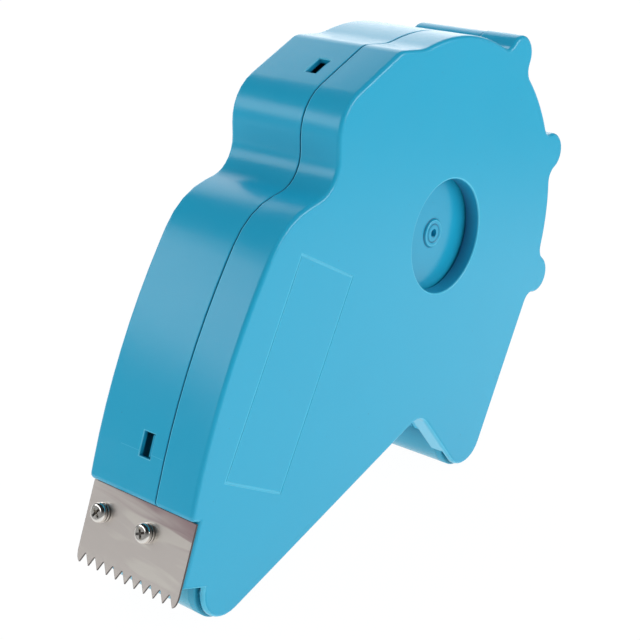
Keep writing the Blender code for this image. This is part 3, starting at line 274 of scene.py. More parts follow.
def moulded_surface():
    """Shader group: the grain, flow marks and sparse specks of a moulded part. Its colour
    takes a painted highlight, and on the rim the witness line's paler tone, where its face
    attribute for painted light is high, and painted shade, darker and duller, where its
    vertex attribute for painted shade is high."""
    group = bpy.data.node_groups.new("moulded_surface", "ShaderNodeTree")
    face = group.interface
    for name, kind, default in (
        ("Light Colour", "NodeSocketColor", (1, 1, 1, 1)),
        ("Deep Colour", "NodeSocketColor", (0, 0, 0, 1)),
        ("Roughness", "NodeSocketFloat", CASE_ROUGHNESS),
        ("Grain Size", "NodeSocketFloat", GRAIN_SIZE),
        ("Grain Height", "NodeSocketFloat", GRAIN_HEIGHT),
        ("Speck Amount", "NodeSocketFloat", SPECK_AMOUNT),
    ):
        socket = face.new_socket(name, in_out="INPUT", socket_type=kind)
        socket.default_value = default
    for name, kind in (("Color", "Color"), ("Roughness", "Float"), ("Normal", "Vector")):
        face.new_socket(name, in_out="OUTPUT", socket_type="NodeSocket" + kind)
    inside = group.nodes.new("NodeGroupInput")
    outside = group.nodes.new("NodeGroupOutput")
    place = (node(group, "TexCoord"), "Object")

    flow = node(group, "TexNoise", place, Scale=FLOW_SCALE, Detail=3)
    base = mixed(group, (flow, "Fac"), (inside, "Light Colour"), (inside, "Deep Colour"))
    specks = node(group, "TexVoronoi", place, Scale=SPECK_SCALE, Randomness=1)
    small = node(group, "MapRange", (specks, "Distance"), From_Min=SPECK_SIZE[0],
                 From_Max=SPECK_SIZE[1], To_Min=1, To_Max=0)
    rare = node(group, "TexWhiteNoise", (specks, "Color"))
    chosen = node(group, "Math", (rare, "Value"), RARE_SPECK, operation="GREATER_THAN")
    speck = node(group, "Math", (small, 0), (chosen, 0), operation="MULTIPLY")
    amount = node(group, "Math", (speck, 0), (inside, "Speck Amount"), operation="MULTIPLY")
    specked = mixed(group, (amount, 0), base, SPECK_BLUE)
    # Painted highlight on eased edges and lips, and the witness line's paler tone.
    paler = mixed(group, noted(group, "eased"), specked, HIGHLIGHT_AND_WITNESS_BLUE)
    # Painted shade in the seam, the window's wall and round the hub's boss.
    hollow = noted(group, "sunk")
    link(group, mixed(group, hollow, paler, PAINTED_SHADE_BLUE), (outside, "Color"))

    haze = node(group, "TexNoise", place, Scale=HAZE_SCALE, Detail=4)
    spread = node(group, "MapRange", (haze, "Fac"), To_Min=-HAZE, To_Max=HAZE)
    rough = node(group, "Math", (spread, 0), (inside, "Roughness"), operation="ADD")
    dulled = node(group, "Math", hollow, PAINTED_SHADE_DULL, (rough, 0), operation="MULTIPLY_ADD")
    link(group, (dulled, 0), (outside, "Roughness"))

    grain = node(group, "TexNoise", place, Scale=(inside, "Grain Size"), Detail=2)
    grained = node(group, "Bump", Height=(grain, "Fac"), Strength=(inside, "Grain Height"),
                   Distance=GRAIN_DEPTH)
    wave = node(group, "TexNoise", place, Scale=WAVE_SCALE, Detail=1)
    waved = node(group, "Bump", Height=(wave, "Fac"), Normal=(grained, "Normal"),
                 Distance=WAVE_DEPTH, Strength=WAVE_STRENGTH)
    link(group, (waved, "Normal"), (outside, "Normal"))
    return group


MOULDED = moulded_surface()


def principled(name, **values):
    """A new material, its node tree, and its Principled shader with some inputs given."""
    material = bpy.data.materials.new(name)
    material.use_nodes = True
    shader = material.node_tree.nodes["Principled BSDF"]
    for key, value in values.items():
        shader.inputs[key].default_value = value
    return material, material.node_tree, shader


def plastic(name, light, deep, roughness, specks=SPECK_AMOUNT):
    """A moulded plastic: Principled, fed by the moulded surface group."""
    material, tree, shader = principled(name, IOR=PLASTIC_IOR)
    surface = tree.nodes.new("ShaderNodeGroup")
    surface.node_tree = MOULDED
    surface.inputs["Light Colour"].default_value = light
    surface.inputs["Deep Colour"].default_value = deep
    surface.inputs["Roughness"].default_value = roughness
    surface.inputs["Speck Amount"].default_value = specks
    link(tree, (surface, "Color"), (shader, "Base Color"))
    link(tree, (surface, "Roughness"), (shader, "Roughness"))
    link(tree, (surface, "Normal"), (shader, "Normal"))
    return material


def show(name, shape, body, material, replaced):
    """Makes a finished piece of a bmesh, which stands for a solid of the frame."""
    mesh = bpy.data.meshes.new(name)
    shape.to_mesh(mesh)
    shape.free()
    mesh.materials.append(material)
    mesh.shade_smooth()
    mesh.set_sharp_from_angle(angle=SMOOTH_ANGLE)
    piece = bpy.data.objects.new(name, mesh)
    scene.collection.objects.link(piece)
    normals = piece.modifiers.new("broad_faces_lead", "WEIGHTED_NORMAL")
    normals.weight = BROAD_FACES
    normals.keep_sharp = True
    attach(piece, body)
    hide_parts(*replaced)


def merged(solid):
    """A copy of a solid as a bmesh, with its loose triangles joined into whole faces."""
    shape = bmesh.new()
    shape.from_mesh(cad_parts[solid].data)
    bmesh.ops.remove_doubles(shape, verts=shape.verts, dist=WELD)
    bmesh.ops.dissolve_limit(shape, angle_limit=FLAT_ANGLE, verts=shape.verts, edges=shape.edges)
    return shape


def ease_edges(shape, width, chosen, pale=1.0):
    """Rounds the outward edges that a test picks, and gives the rounds a share of painted light: a
    highlight on the plastic parts, painted edge shade on the blade.
    """
    light_and_marks = shape.faces.layers.float.get("eased") or shape.faces.layers.float.new("eased")
    edges = []
    for edge in shape.edges:
        if len(edge.link_faces) != 2 or not edge.is_convex:
            continue
        long_enough = edge.calc_length() > width * EDGE_LEAST
        if edge.calc_face_angle(0) > EDGE_ANGLE and long_enough and chosen(edge):
            edges.append(edge)
    made = bmesh.ops.bevel(shape, geom=edges, offset=width, offset_type="OFFSET", affect="EDGES",
                           segments=EDGE_STEPS, profile=0.5, material=-1, clamp_overlap=False)
    for face in made["faces"]:
        face[light_and_marks] = pale


def at_seam(edge):
    """Picks the edges that run along the seam between the two shells."""
    return all(abs(vert.co.y - SEAM_PLACE) < SEAM_REACH for vert in edge.verts)


def at_blade_seat(edge):
    """Picks the rim's lower border, which overhangs the blade."""
    ends = [vert.co - SEAT_CORNER for vert in edge.verts]
    in_band = all(abs(end.dot(SEAT_ALONG)) < SEAT_BAND for end in ends)
    return in_band and all(SEAT_DEPTH[0] < end.dot(SEAT_OUT) < SEAT_DEPTH[1] for end in ends)


def mark_edges(shape, seam_shade):
    """Gives the rounded borders of the lips a painted highlight, and the inner side of the seam
    painted shade.
    """
    light_and_marks = shape.faces.layers.float.get("eased")
    sunk = shape.verts.layers.float.new("sunk")
    for face in shape.faces:
        middle = face.calc_center_median()
        up, out = (middle - SEAT_CORNER).dot(SEAT_ALONG), (middle - SEAT_CORNER).dot(SEAT_OUT)
        under_blade = -SEAT_WALL[0] < up < 0 and abs(out) < SEAT_WALL[1]
        slanted = LIP_SLANT[0] < abs(face.normal.y) < LIP_SLANT[1]
        if slanted and middle.z < LIP_TOP and not under_blade:
            face[light_and_marks] = max(face[light_and_marks], LIP_HIGHLIGHT)
    for vert in shape.verts:
        if abs(vert.co.y - SEAM_PLACE) < SEAM_REACH * SEAM_SHADE:
            vert[sunk] = seam_shade


def at_snap_window(edge):
    """Picks the edges of the two windows that the cover's hooks reach."""
    middle = (edge.verts[0].co + edge.verts[1].co) / 2
    return any((middle - place).length < SNAP_REACH for place in SNAP_PLACES) and not at_seam(edge)


case_plastic = plastic("case_plastic", CASE_BLUE, CASE_DEEP, CASE_ROUGHNESS)
shape = merged("main_case")
ease_edges(shape, SEAM_EDGE, at_seam, pale=0.0)
# The snap windows' and the blade seat's eased edges carry a painted highlight.
ease_edges(shape, SNAP_EDGE, at_snap_window)
ease_edges(shape, SEAT_EDGE, at_blade_seat, pale=SEAT_HIGHLIGHT)
mark_edges(shape, CASE_SEAM_SHADE)

# A faint witness line crosses the rim at the front snap window, where the mould's side
# slide met the rest of the mould. It is flush and only a little paler than the rim.
WITNESS_ALONG = Vector((0.29, 0, 0.957)).normalized()
WITNESS_DROP = 0.0034
WITNESS_SPOT = SNAP_PLACES[0] - WITNESS_ALONG * WITNESS_DROP
WITNESS_HALF = 0.00011
WITNESS_END = 0.0145
WITNESS_REACH = 0.040
WITNESS_FACING = 0.85
WITNESS_PALE = 0.5


def on_front_rim(face):
    """Picks the rim's outer faces round the front snap window."""
    away = face.calc_center_median() - SNAP_PLACES[0]
    return face.normal.dot(SEAT_OUT) > WITNESS_FACING and away.length < WITNESS_REACH


cuts = [(WITNESS_SPOT + WITNESS_ALONG * WITNESS_HALF * side, WITNESS_ALONG) for side in (1, -1)]
cuts.append((Vector((0, WITNESS_END, 0)), Vector((0, 1, 0))))
for spot, along in cuts:
    rim = [face for face in shape.faces if on_front_rim(face)]
    rim = list(dict.fromkeys(item for face in rim for item in (face, *face.edges, *face.verts)))
    bmesh.ops.bisect_plane(shape, geom=rim, plane_co=spot, plane_no=along)
light_and_marks = shape.faces.layers.float.get("eased")
for face in shape.faces:
    away = face.calc_center_median() - WITNESS_SPOT
    on_line = abs(away.dot(WITNESS_ALONG)) < WITNESS_HALF and away.y < WITNESS_END
    if on_line and on_front_rim(face):
        face[light_and_marks] = WITNESS_PALE
show("main_shell", shape, "case", case_plastic, ["main_case"])


# Roller axles: two plain bars of ground steel with chamfered ends, pressed into blind
# holes in the lips. They are bare metal, and the rollers' bushes turn on them.
AXLE_STEEL = (0.52, 0.52, 0.53, 1)
AXLE_ROUGHNESS = 0.26
AXLE_RADIUS = 0.0025
AXLE_HALF = 0.0264
AXLE_CHAMFER = 0.0004
AXLE_STEPS = 48
ROLLER_PLACES = {"nose": (-0.103557, 0.01475), "heel": (0.058946, 0.01475)}
MARKS_SCALE = 900
METAL_SHADE = 0.8
METAL_SMOOTHER = 0.06
METAL_ROUGHER = 0.08


def dimmed(colour, share):
    """A colour at some share of its brightness."""
    return tuple(share * value for value in colour[:3]) + (1,)


def metal(name, colour, roughness):
    """A plain metal with fine turned or rolled marks in its roughness."""
    material, tree, shader = principled(name, Metallic=1)
    place = (node(tree, "TexCoord"), "Object")
    marks = node(tree, "TexNoise", place, Scale=MARKS_SCALE, Detail=3)
    tone = mixed(tree, (marks, "Fac"), colour, dimmed(colour, METAL_SHADE))
    link(tree, tone, (shader, "Base Color"))
    rough = node(tree, "MapRange", (marks, "Fac"), To_Min=roughness - METAL_SMOOTHER,
                 To_Max=roughness + METAL_ROUGHER)
    link(tree, (rough, 0), (shader, "Roughness"))
    return material


def turned(profile, centre, steps, closed=True):
    """A bmesh turned about a line along Y, from (radius, place along Y) pairs."""
    shape = bmesh.new()
    points = [shape.verts.new((centre[0] + radius, along, centre[1])) for radius, along in profile]
    pairs = list(zip(points, points[1:] + points[:1]))
    edges = [shape.edges.new(pair) for pair in (pairs if closed else pairs[:-1])]
    bmesh.ops.spin(shape, geom=points + edges, cent=(centre[0], 0, centre[1]), axis=(0, 1, 0),
                   dvec=(0, 0, 0), angle=math.tau, steps=steps, use_merge=True, use_duplicate=False)
    bmesh.ops.remove_doubles(shape, verts=shape.verts, dist=WELD)
    bmesh.ops.recalc_face_normals(shape, faces=shape.faces)
    return shape


axle_steel = metal("axle_steel", AXLE_STEEL, AXLE_ROUGHNESS)
for end, centre in ROLLER_PLACES.items():
    profile = [(0, AXLE_HALF), (AXLE_RADIUS - AXLE_CHAMFER, AXLE_HALF)]
    profile += [(AXLE_RADIUS, AXLE_HALF - AXLE_CHAMFER)]
    profile += [(radius, -along) for radius, along in reversed(profile)]
    shape = turned(profile, centre, AXLE_STEPS, closed=False)
    show(end + "_axle", shape, "case", axle_steel, [end + "_roller_axle"])


# Rollers: smooth extruded tubes of a slightly greyer blue plastic, cut to length with a
# small chamfer. A moulded bush with a dished face is pressed into each end.
ROLLER_BLUE = (0.050, 0.420, 0.560, 1)
ROLLER_DEEP = (0.040, 0.380, 0.515, 1)
BUSH_BLUE = (0.014, 0.360, 0.540, 1)
ROLLER_RADIUS = 0.01475
TUBE_BORE = 0.01225
TUBE_HALF = 0.0208
TUBE_CHAMFER = 0.00014
BUSH_ROOT = 0.02086
BUSH_END = 0.0240
BUSH_PLUG_END = 0.0150
BUSH_PLUG = 0.01195
BUSH_BORE = 0.0028
BUSH_ROUND = 0.0006
ROUND_STEPS = 4
BUSH_DISH = (0.0062, 0.0112, 0.0007)
ROLLER_STEPS = 96
ROLLER_ROUGHNESS = 0.22
ROLLER_SPECKS = 0.2
BUSH_ROUGHNESS = 0.50


def round_corner(radius, along, size):
    """The points of a quarter round of a profile, from its widest point inwards."""
    angles = [math.radians(90 * i / ROUND_STEPS) for i in range(ROUND_STEPS + 1)]
    return [(radius + size * math.cos(angle), along + size * math.sin(angle)) for angle in angles]


roller_plastic = plastic("roller_plastic", ROLLER_BLUE, ROLLER_DEEP, ROLLER_ROUGHNESS,
                         ROLLER_SPECKS)
bush_plastic = plastic("bush_plastic", BUSH_BLUE, ROLLER_DEEP, BUSH_ROUGHNESS, ROLLER_SPECKS)
for end, centre in ROLLER_PLACES.items():
    body = end + "_roller_body"
    outer, inner = ROLLER_RADIUS - TUBE_CHAMFER, TUBE_BORE + TUBE_CHAMFER
    edge = TUBE_HALF - TUBE_CHAMFER
    profile = [(inner, TUBE_HALF), (outer, TUBE_HALF)]
    profile += [(ROLLER_RADIUS, edge), (ROLLER_RADIUS, -edge), (outer, -TUBE_HALF)]
    profile += [(inner, -TUBE_HALF), (TUBE_BORE, -edge), (TUBE_BORE, edge)]
    shape = turned(profile, centre, ROLLER_STEPS)
    show(end + "_tube", shape, body, roller_plastic, [end + "_roller"])
    for side, name in ((-1, "near"), (1, "far")):
        dish_in, dish_out, dish_depth = BUSH_DISH
        profile = [(BUSH_BORE, BUSH_PLUG_END), (BUSH_PLUG, BUSH_PLUG_END), (BUSH_PLUG, BUSH_ROOT)]
        profile += [(ROLLER_RADIUS, BUSH_ROOT)]
        profile += round_corner(ROLLER_RADIUS - BUSH_ROUND, BUSH_END - BUSH_ROUND, BUSH_ROUND)
        profile += [(dish_out, BUSH_END), (dish_out - dish_depth, BUSH_END - dish_depth)]
        profile += [(dish_in + dish_depth, BUSH_END - dish_depth), (dish_in, BUSH_END)]
        profile += [(BUSH_BORE, BUSH_END)]
        profile = [(radius, along * side) for radius, along in profile]
        shape = turned(profile, centre, ROLLER_STEPS)
        replaced = [f"{end}_roller_bush_{name}"]
        show(f"{end}_bush_{name}", shape, body, bush_plastic, replaced)


# Tape hub: a moulded drum closed on the cover's side by a disc, with a low boss and a
# small gate hole in the middle of the disc. It turns on the case's hollow post. The
# boss's rim and the groove's edges carry a painted highlight, a painted shadow darkens
# the boss's foot, and painted shade darkens the groove round the hole.
HUB_BLUE = (0.0135, 0.365, 0.555, 1)
HUB_DEEP = (0.0120, 0.330, 0.510, 1)
HUB_AXIS = (0.037144, 0.119)
HUB_ROUGHNESS = 0.16
BOSS_EDGE = 0.00016
BOSS_RIM = 0.00045
BOSS_REACH = 0.0070
BOSS_GROOVE = (0.0033, 0.0047)
BOSS_TOP = -0.0213
BOSS_LINE = 0.00030
BOSS_LINE_FROM = 0.0052
BOSS_FOOT = 0.00640
BOSS_SHADE = 0.00055
# Shares of painted light: the highlight on the boss's rim, the shadow at its foot and the shade in
# the groove.
BOSS_HIGHLIGHT = 0.9
FOOT_SHADOW = 0.75
GROOVE_SHADE = 0.9
DISC_FACE = -0.0204
FACING = 0.99


def from_hub_axis(point):
    """The distance of a point from the hub's axis."""
    return math.hypot(point.x - HUB_AXIS[0], point.z - HUB_AXIS[1])


def face_ring(face):
    """Says which flat ring of the hub's closed end a face belongs to."""
    level = face.calc_center_median().y
    nearest = min(from_hub_axis(vert.co) for vert in face.verts)
    if abs(level - BOSS_TOP) < BOSS_EDGE / 2 and nearest > BOSS_GROOVE[0] + BOSS_LINE:
        return "boss"
    if abs(level - DISC_FACE) < BOSS_EDGE / 2 and nearest > BOSS_LINE_FROM:
        return "disc"
    return ""


def at_groove(edge):
    """Picks the edges of the groove round the gate hole."""
    return all(from_hub_axis(vert.co) < BOSS_GROOVE[1] for vert in edge.verts)


def at_boss_rim(edge):
    """Picks the boss's outer edge."""
    return all(BOSS_GROOVE[1] < from_hub_axis(vert.co) < BOSS_REACH for vert in edge.verts)


def inset_ring(shape, ring, width):
    """Insets one of the flat rings of the closed end by a narrow border, and returns that."""
    faces = [face for face in shape.faces if face.normal.y < -FACING and face_ring(face) == ring]
    inset = bmesh.ops.inset_region(shape, faces=faces, thickness=width, depth=0,
                                   use_even_offset=True)
    return inset["faces"]


hub_plastic = plastic("hub_plastic", HUB_BLUE, HUB_DEEP, HUB_ROUGHNESS)
shape = merged("tape_hub")
ease_edges(shape, BOSS_EDGE, at_groove)
ease_edges(shape, BOSS_RIM, at_boss_rim)
# A narrow border round the boss's top carries a painted highlight on its outer side.
line = inset_ring(shape, "boss", BOSS_LINE)
light_and_marks = shape.faces.layers.float.get("eased")
for face in line:
    outer = max(from_hub_axis(vert.co) for vert in face.verts) > BOSS_LINE_FROM
    face[light_and_marks] = BOSS_HIGHLIGHT if outer else 0.0
# The disc's narrow ring round the boss's foot takes a painted shadow, and the groove's floor
# painted shade.
inset_ring(shape, "disc", BOSS_SHADE)
sunk = shape.verts.layers.float.new("sunk")
for vert in shape.verts:
    reach, level = from_hub_axis(vert.co), vert.co.y
    if BOSS_LINE_FROM < reach < BOSS_FOOT and abs(level - DISC_FACE) < BOSS_EDGE / 2:
        vert[sunk] = FOOT_SHADOW
    if BOSS_GROOVE[0] < reach < BOSS_GROOVE[1] and level > BOSS_TOP + BOSS_EDGE:
        vert[sunk] = GROOVE_SHADE
show("drum", shape, "hub", hub_plastic, ["tape_hub"])


# Cutter blade: a strip of bright rolled stainless steel, blanked with eleven teeth and two
# screw holes, deburred, and clamped against the case's front wall by its screws, which
# bite in a steel nut plate behind that wall.
BLADE_TILT = math.radians(22.5)
BLADE_HALF = 0.02765
BLADE_LENGTH = 0.0332
BLADE_THICKNESS = 0.0008
BLADE_DEBURR = 0.00007
# Width and darkness of the border of painted shade on both flat sides.
BLADE_SHADE_BORDER = 0.00017
BORDER_SHADE = 0.6
TOOTH_COUNT = 11
TOOTH_DEPTH = 0.0048
TOOTH_EDGE = 0.0020
GULLET_ROUND = 0.0009
GULLET_STEPS = 5
SIDE_CURVE = ((0.0, 0.0), (0.04, 0.20), (0.13, 0.42), (0.30, 0.66), (0.60, 0.87))
SCREW_DROP = 0.0109
SCREW_PLACES = {"near": -0.0054, "far": 0.0191}
HOLE_RADIUS = 0.0022
HOLE_STEPS = 40
BLADE_STEEL = (0.875, 0.815, 0.770, 1)
# Painted shadow and reflection of the case's rim along the blade's upper band.
BLADE_RIM_SHADOW = (0.500, 0.370, 0.385, 1)
# Pale cream streaks painted as highlights.
BLADE_GLINT = (0.985, 0.940, 0.870, 1)
# Painted shade on the cut edges.
BLADE_EDGE_SHADE = (0.110, 0.095, 0.090, 1)
STREAK_PLACE = (0, 0.031, 0.004)
STREAK_LEAN = (math.radians(-6), 0, 0)
STREAK_STRETCH = (30, 24, 150)
STREAK_EDGE = (0.50, 0.64)
STREAK_BEND = 0.8
STREAK_SHARE = 0.85
STREAK_SPREAD = (0.3, 0.7)
STREAK_WANDER = 0.0035
BAND_SLOPE = -0.16
BAND_EDGE = (0.0395, 0.0490)
ROLLING_STRETCH = (900, 90, 5200)
ROLLING_DEPTH = 0.000012
ROLLING_STRENGTH = 0.35
WARP_SCALE = 55
WARP_DEPTH = 0.0006
WARP_STRENGTH = 0.30
BLADE_ROUGHNESS = (0.27, 0.40)
FLAT_SIDE = 0.5
PLATE_EDGE = 0.0002
PLATE_LEAST = 0.0006

# The blade lies in its own plane: X to the near side, Y up its length and Z outwards.
lean_sine, lean_cosine = math.sin(BLADE_TILT), math.cos(BLADE_TILT)
BLADE_AXES = Matrix(((0, lean_sine, -lean_cosine), (-1, 0, 0), (0, lean_cosine, lean_sine)))
BLADE_FRAME = Matrix.Translation(SEAT_CORNER) @ BLADE_AXES.to_4x4()


def blade_metal():
    """Rolled stainless: fine lines and slow waves of the rolling, pale streaks painted as
    highlights, a painted shadow and reflection of the rim along the upper band, and painted
    shade on the cut edges where its face attribute for painted light is high."""
    material, tree, shader = principled("blade_steel", Metallic=1)
    place = (node(tree, "TexCoord"), "Object")
    lay = node(tree, "Mapping", place, Location=STREAK_PLACE, Rotation=STREAK_LEAN)
    stretch = node(tree, "Mapping", (lay, 0), Scale=STREAK_STRETCH)
    streak = node(tree, "TexNoise", (stretch, 0), Scale=1, Detail=2, Distortion=STREAK_BEND)
    streaks = ramp(tree, (streak, "Fac"), From_Min=STREAK_EDGE[0], From_Max=STREAK_EDGE[1])
    share = node(tree, "Math", (streaks, 0), STREAK_SHARE, operation="MULTIPLY")
    wander = node(tree, "MapRange", (streak, "Fac"), From_Min=STREAK_SPREAD[0],
                  From_Max=STREAK_SPREAD[1], To_Min=-STREAK_WANDER, To_Max=STREAK_WANDER)
    split = node(tree, "SeparateXYZ", place)
    tall = node(tree, "Math", (split, "Z"), (wander, 0), operation="ADD")
    slope = node(tree, "Math", (split, "Y"), BAND_SLOPE, operation="MULTIPLY")
    across = node(tree, "Math", (tall, 0), (slope, 0), operation="ADD")
    band = ramp(tree, (across, 0), From_Min=BAND_EDGE[0], From_Max=BAND_EDGE[1])
    # Painted shadow and reflection of the rim along the top of the blade.
    rim_shaded = mixed(tree, (band, 0), BLADE_STEEL, BLADE_RIM_SHADOW)
    # Painted highlight streaks.
    pale = mixed(tree, (share, 0), rim_shaded, BLADE_GLINT)
    # Painted shade on the cut edges and their narrow border.
    dark = mixed(tree, noted(tree, "eased"), pale, BLADE_EDGE_SHADE)
    link(tree, dark, (shader, "Base Color"))
    fine = node(tree, "Mapping", place, Scale=ROLLING_STRETCH)
    rolling = node(tree, "TexNoise", (fine, 0), Scale=1, Detail=2)
    rough = node(tree, "MapRange", (rolling, "Fac"), To_Min=BLADE_ROUGHNESS[0],
                 To_Max=BLADE_ROUGHNESS[1])
    link(tree, (rough, 0), (shader, "Roughness"))
    lines = node(tree, "Bump", Height=(rolling, "Fac"), Distance=ROLLING_DEPTH,
                 Strength=ROLLING_STRENGTH)
    warp = node(tree, "TexNoise", place, Scale=WARP_SCALE, Detail=1)
    warped = node(tree, "Bump", Height=(warp, "Fac"), Normal=(lines, "Normal"),
                  Distance=WARP_DEPTH, Strength=WARP_STRENGTH)
    link(tree, (warped, "Normal"), (shader, "Normal"))
    return material


# The outline starts at the top corners, follows one curved side down, then the teeth and
# gullets across, and returns up the other side.
root = TOOTH_DEPTH - BLADE_LENGTH
side = [(BLADE_HALF - TOOTH_EDGE * inset, root - TOOTH_DEPTH * drop) for inset, drop in SIDE_CURVE]
pitch = (BLADE_HALF - TOOTH_EDGE) * 2 / (TOOTH_COUNT - 1)
shape = bmesh.new()
outline = [shape.verts.new((x, 0, 0)) for x in (BLADE_HALF, -BLADE_HALF)]
outline += [shape.verts.new((-x, y, 0)) for x, y in side]
gullets = []
for i in range(TOOTH_COUNT):
    x = TOOTH_EDGE - BLADE_HALF + pitch * i
    outline.append(shape.verts.new((x, -BLADE_LENGTH, 0)))
    if i < TOOTH_COUNT - 1:
        gullets.append(shape.verts.new((x + pitch / 2, root, 0)))
        outline.append(gullets[-1])
outline += [shape.verts.new((x, y, 0)) for x, y in reversed(side)]
shape.faces.new(outline)
bmesh.ops.bevel(shape, geom=gullets, offset=GULLET_ROUND, offset_type="OFFSET", affect="VERTICES",
                segments=GULLET_STEPS, profile=0.5, material=-1)
bmesh.ops.delete(shape, geom=list(shape.faces), context="FACES_ONLY")
for along in SCREW_PLACES.values():
    spot = Matrix.Translation((-along, -SCREW_DROP, 0))
    bmesh.ops.create_circle(shape, cap_ends=False, radius=HOLE_RADIUS, segments=HOLE_STEPS,
                            matrix=spot)
bmesh.ops.triangle_fill(shape, use_beauty=True, use_dissolve=False, edges=shape.edges)
bmesh.ops.recalc_face_normals(shape, faces=shape.faces)
sheet = bmesh.ops.extrude_face_region(shape, geom=list(shape.faces))
moved = [item for item in sheet["geom"] if isinstance(item, bmesh.types.BMVert)]
bmesh.ops.translate(shape, verts=moved, vec=(0, 0, -BLADE_THICKNESS))
bmesh.ops.recalc_face_normals(shape, faces=shape.faces)

# Both flat sides get a narrow border of painted shade, and the cut edges are painted dark.
light_and_marks = shape.faces.layers.float.new("eased")
for face in shape.faces:
    face[light_and_marks] = 0.0 if abs(face.normal.z) > FLAT_SIDE else 1.0
for outward in (1, -1):
    sheet = [face for face in shape.faces if face.normal.z * outward > FLAT_SIDE]
    ring = bmesh.ops.inset_region(shape, faces=sheet, thickness=BLADE_SHADE_BORDER, depth=0,
                                  use_even_offset=True)
    for face in ring["faces"]:
        face[light_and_marks] = BORDER_SHADE
ease_edges(shape, BLADE_DEBURR, lambda edge: True)
shape.transform(BLADE_FRAME)
show("blade", shape, "case", blade_metal(), ["cutter_blade"])

nut_plate = merged("blade_nut_plate")
ease_edges(nut_plate, PLATE_EDGE, lambda edge: edge.calc_length() > PLATE_LEAST, pale=0.0)
show("nut_plate", nut_plate, "case", axle_steel, ["blade_nut_plate"])


# Screws: nickel-plated pan-head machine screws with a cross recess, cold headed and then
# thread rolled. They pass the blade and the case wall into the nut plate.
HEAD_RADIUS = 0.0040
HEAD_UNDER = 0.0016
HEAD_TOP = 0.0042
HEAD_ROUND = 0.0017
HEAD_FOOT_ROUND = 0.00018
HEAD_STEPS = 8
SCREW_STEPS = 48
SHANK_RADIUS = 0.0019
THREAD_ROOT = 0.0016
THREAD_PITCH = 0.0007
THREAD_FLANK = 0.42
THREAD_CREST = 0.2
THREAD_SINK = 0.0001
THREAD_STEPS = 24
SCREW_TIP = -0.0072
TIP_CHAMFER = 0.0004
RECESS_ARMS = 4
RECESS_LENGTH = 0.0026
RECESS_HALF = 0.00058
RECESS_DEPTH = 0.0017
RECESS_TAPER = 0.42
RECESS_TURNS = {"near": math.radians(24), "far": math.radians(52)}
NICKEL = (0.880, 0.860, 0.820, 1)
NICKEL_ROUGHNESS = 0.12
NICKEL_SHADE = 0.72
NICKEL_SMOOTHER = 0.05
STAIN_SCALE = 420
PIT_SCALE = 1500
PIT_DEPTH = 0.00002
PIT_STRENGTH = 0.3
# Painted shade in the cross recess.
RECESS_SHADE = (0.120, 0.105, 0.095, 1)


def plated_metal(name, colour, roughness):
    """Bright plating over a headed blank: fine pits, faint stains, and painted shade in the
    recess, where its face attribute for painted light is high."""
    material, tree, shader = principled(name, Metallic=1)
    place = (node(tree, "TexCoord"), "Object")
    stain = node(tree, "TexNoise", place, Scale=STAIN_SCALE, Detail=2)
    tone = mixed(tree, (stain, "Fac"), colour, dimmed(colour, NICKEL_SHADE))
    dark = mixed(tree, noted(tree, "eased"), tone, RECESS_SHADE)
    link(tree, dark, (shader, "Base Color"))
    pits = node(tree, "TexNoise", place, Scale=PIT_SCALE, Detail=3)
    rough = node(tree, "MapRange", (pits, "Fac"), To_Min=roughness - NICKEL_SMOOTHER,
                 To_Max=roughness + METAL_ROUGHER)
    link(tree, (rough, 0), (shader, "Roughness"))
    dents = node(tree, "Bump", Height=(pits, "Fac"), Distance=PIT_DEPTH, Strength=PIT_STRENGTH)
    link(tree, (dents, "Normal"), (shader, "Normal"))
    return material


def spun_up(profile, steps):
    """A bmesh turned about its own Z, from (radius, height) pairs."""
    shape = bmesh.new()
    points = [shape.verts.new((radius, 0, height)) for radius, height in profile]
    edges = [shape.edges.new(pair) for pair in zip(points, points[1:])]
    bmesh.ops.spin(shape, geom=points + edges, cent=(0, 0, 0), axis=(0, 0, 1), dvec=(0, 0, 0),
                   angle=math.tau, steps=steps, use_merge=True, use_duplicate=False)
    bmesh.ops.remove_doubles(shape, verts=shape.verts, dist=WELD)
    bmesh.ops.recalc_face_normals(shape, faces=shape.faces)
    return shape


def cut_by(shape, tool):
    """The first bmesh with the second cut out of it."""
    items = []
    for name, part in (("blank", shape), ("punch", tool)):
        mesh = bpy.data.meshes.new(name)
        part.to_mesh(mesh)
        part.free()
        items.append(bpy.data.objects.new(name, mesh))
        scene.collection.objects.link(items[-1])
    cut = items[0].modifiers.new("cut", "BOOLEAN")
    cut.solver = "EXACT"
    cut.operation = "DIFFERENCE"
    cut.object = items[1]
    bpy.context.view_layer.update()
    graph = bpy.context.evaluated_depsgraph_get()
    mesh = bpy.data.meshes.new_from_object(items[0].evaluated_get(graph))
    result = bmesh.new()
    result.from_mesh(mesh)
    for item in items:
        bpy.data.objects.remove(item, do_unlink=True)
    bpy.data.meshes.remove(mesh)
    return result


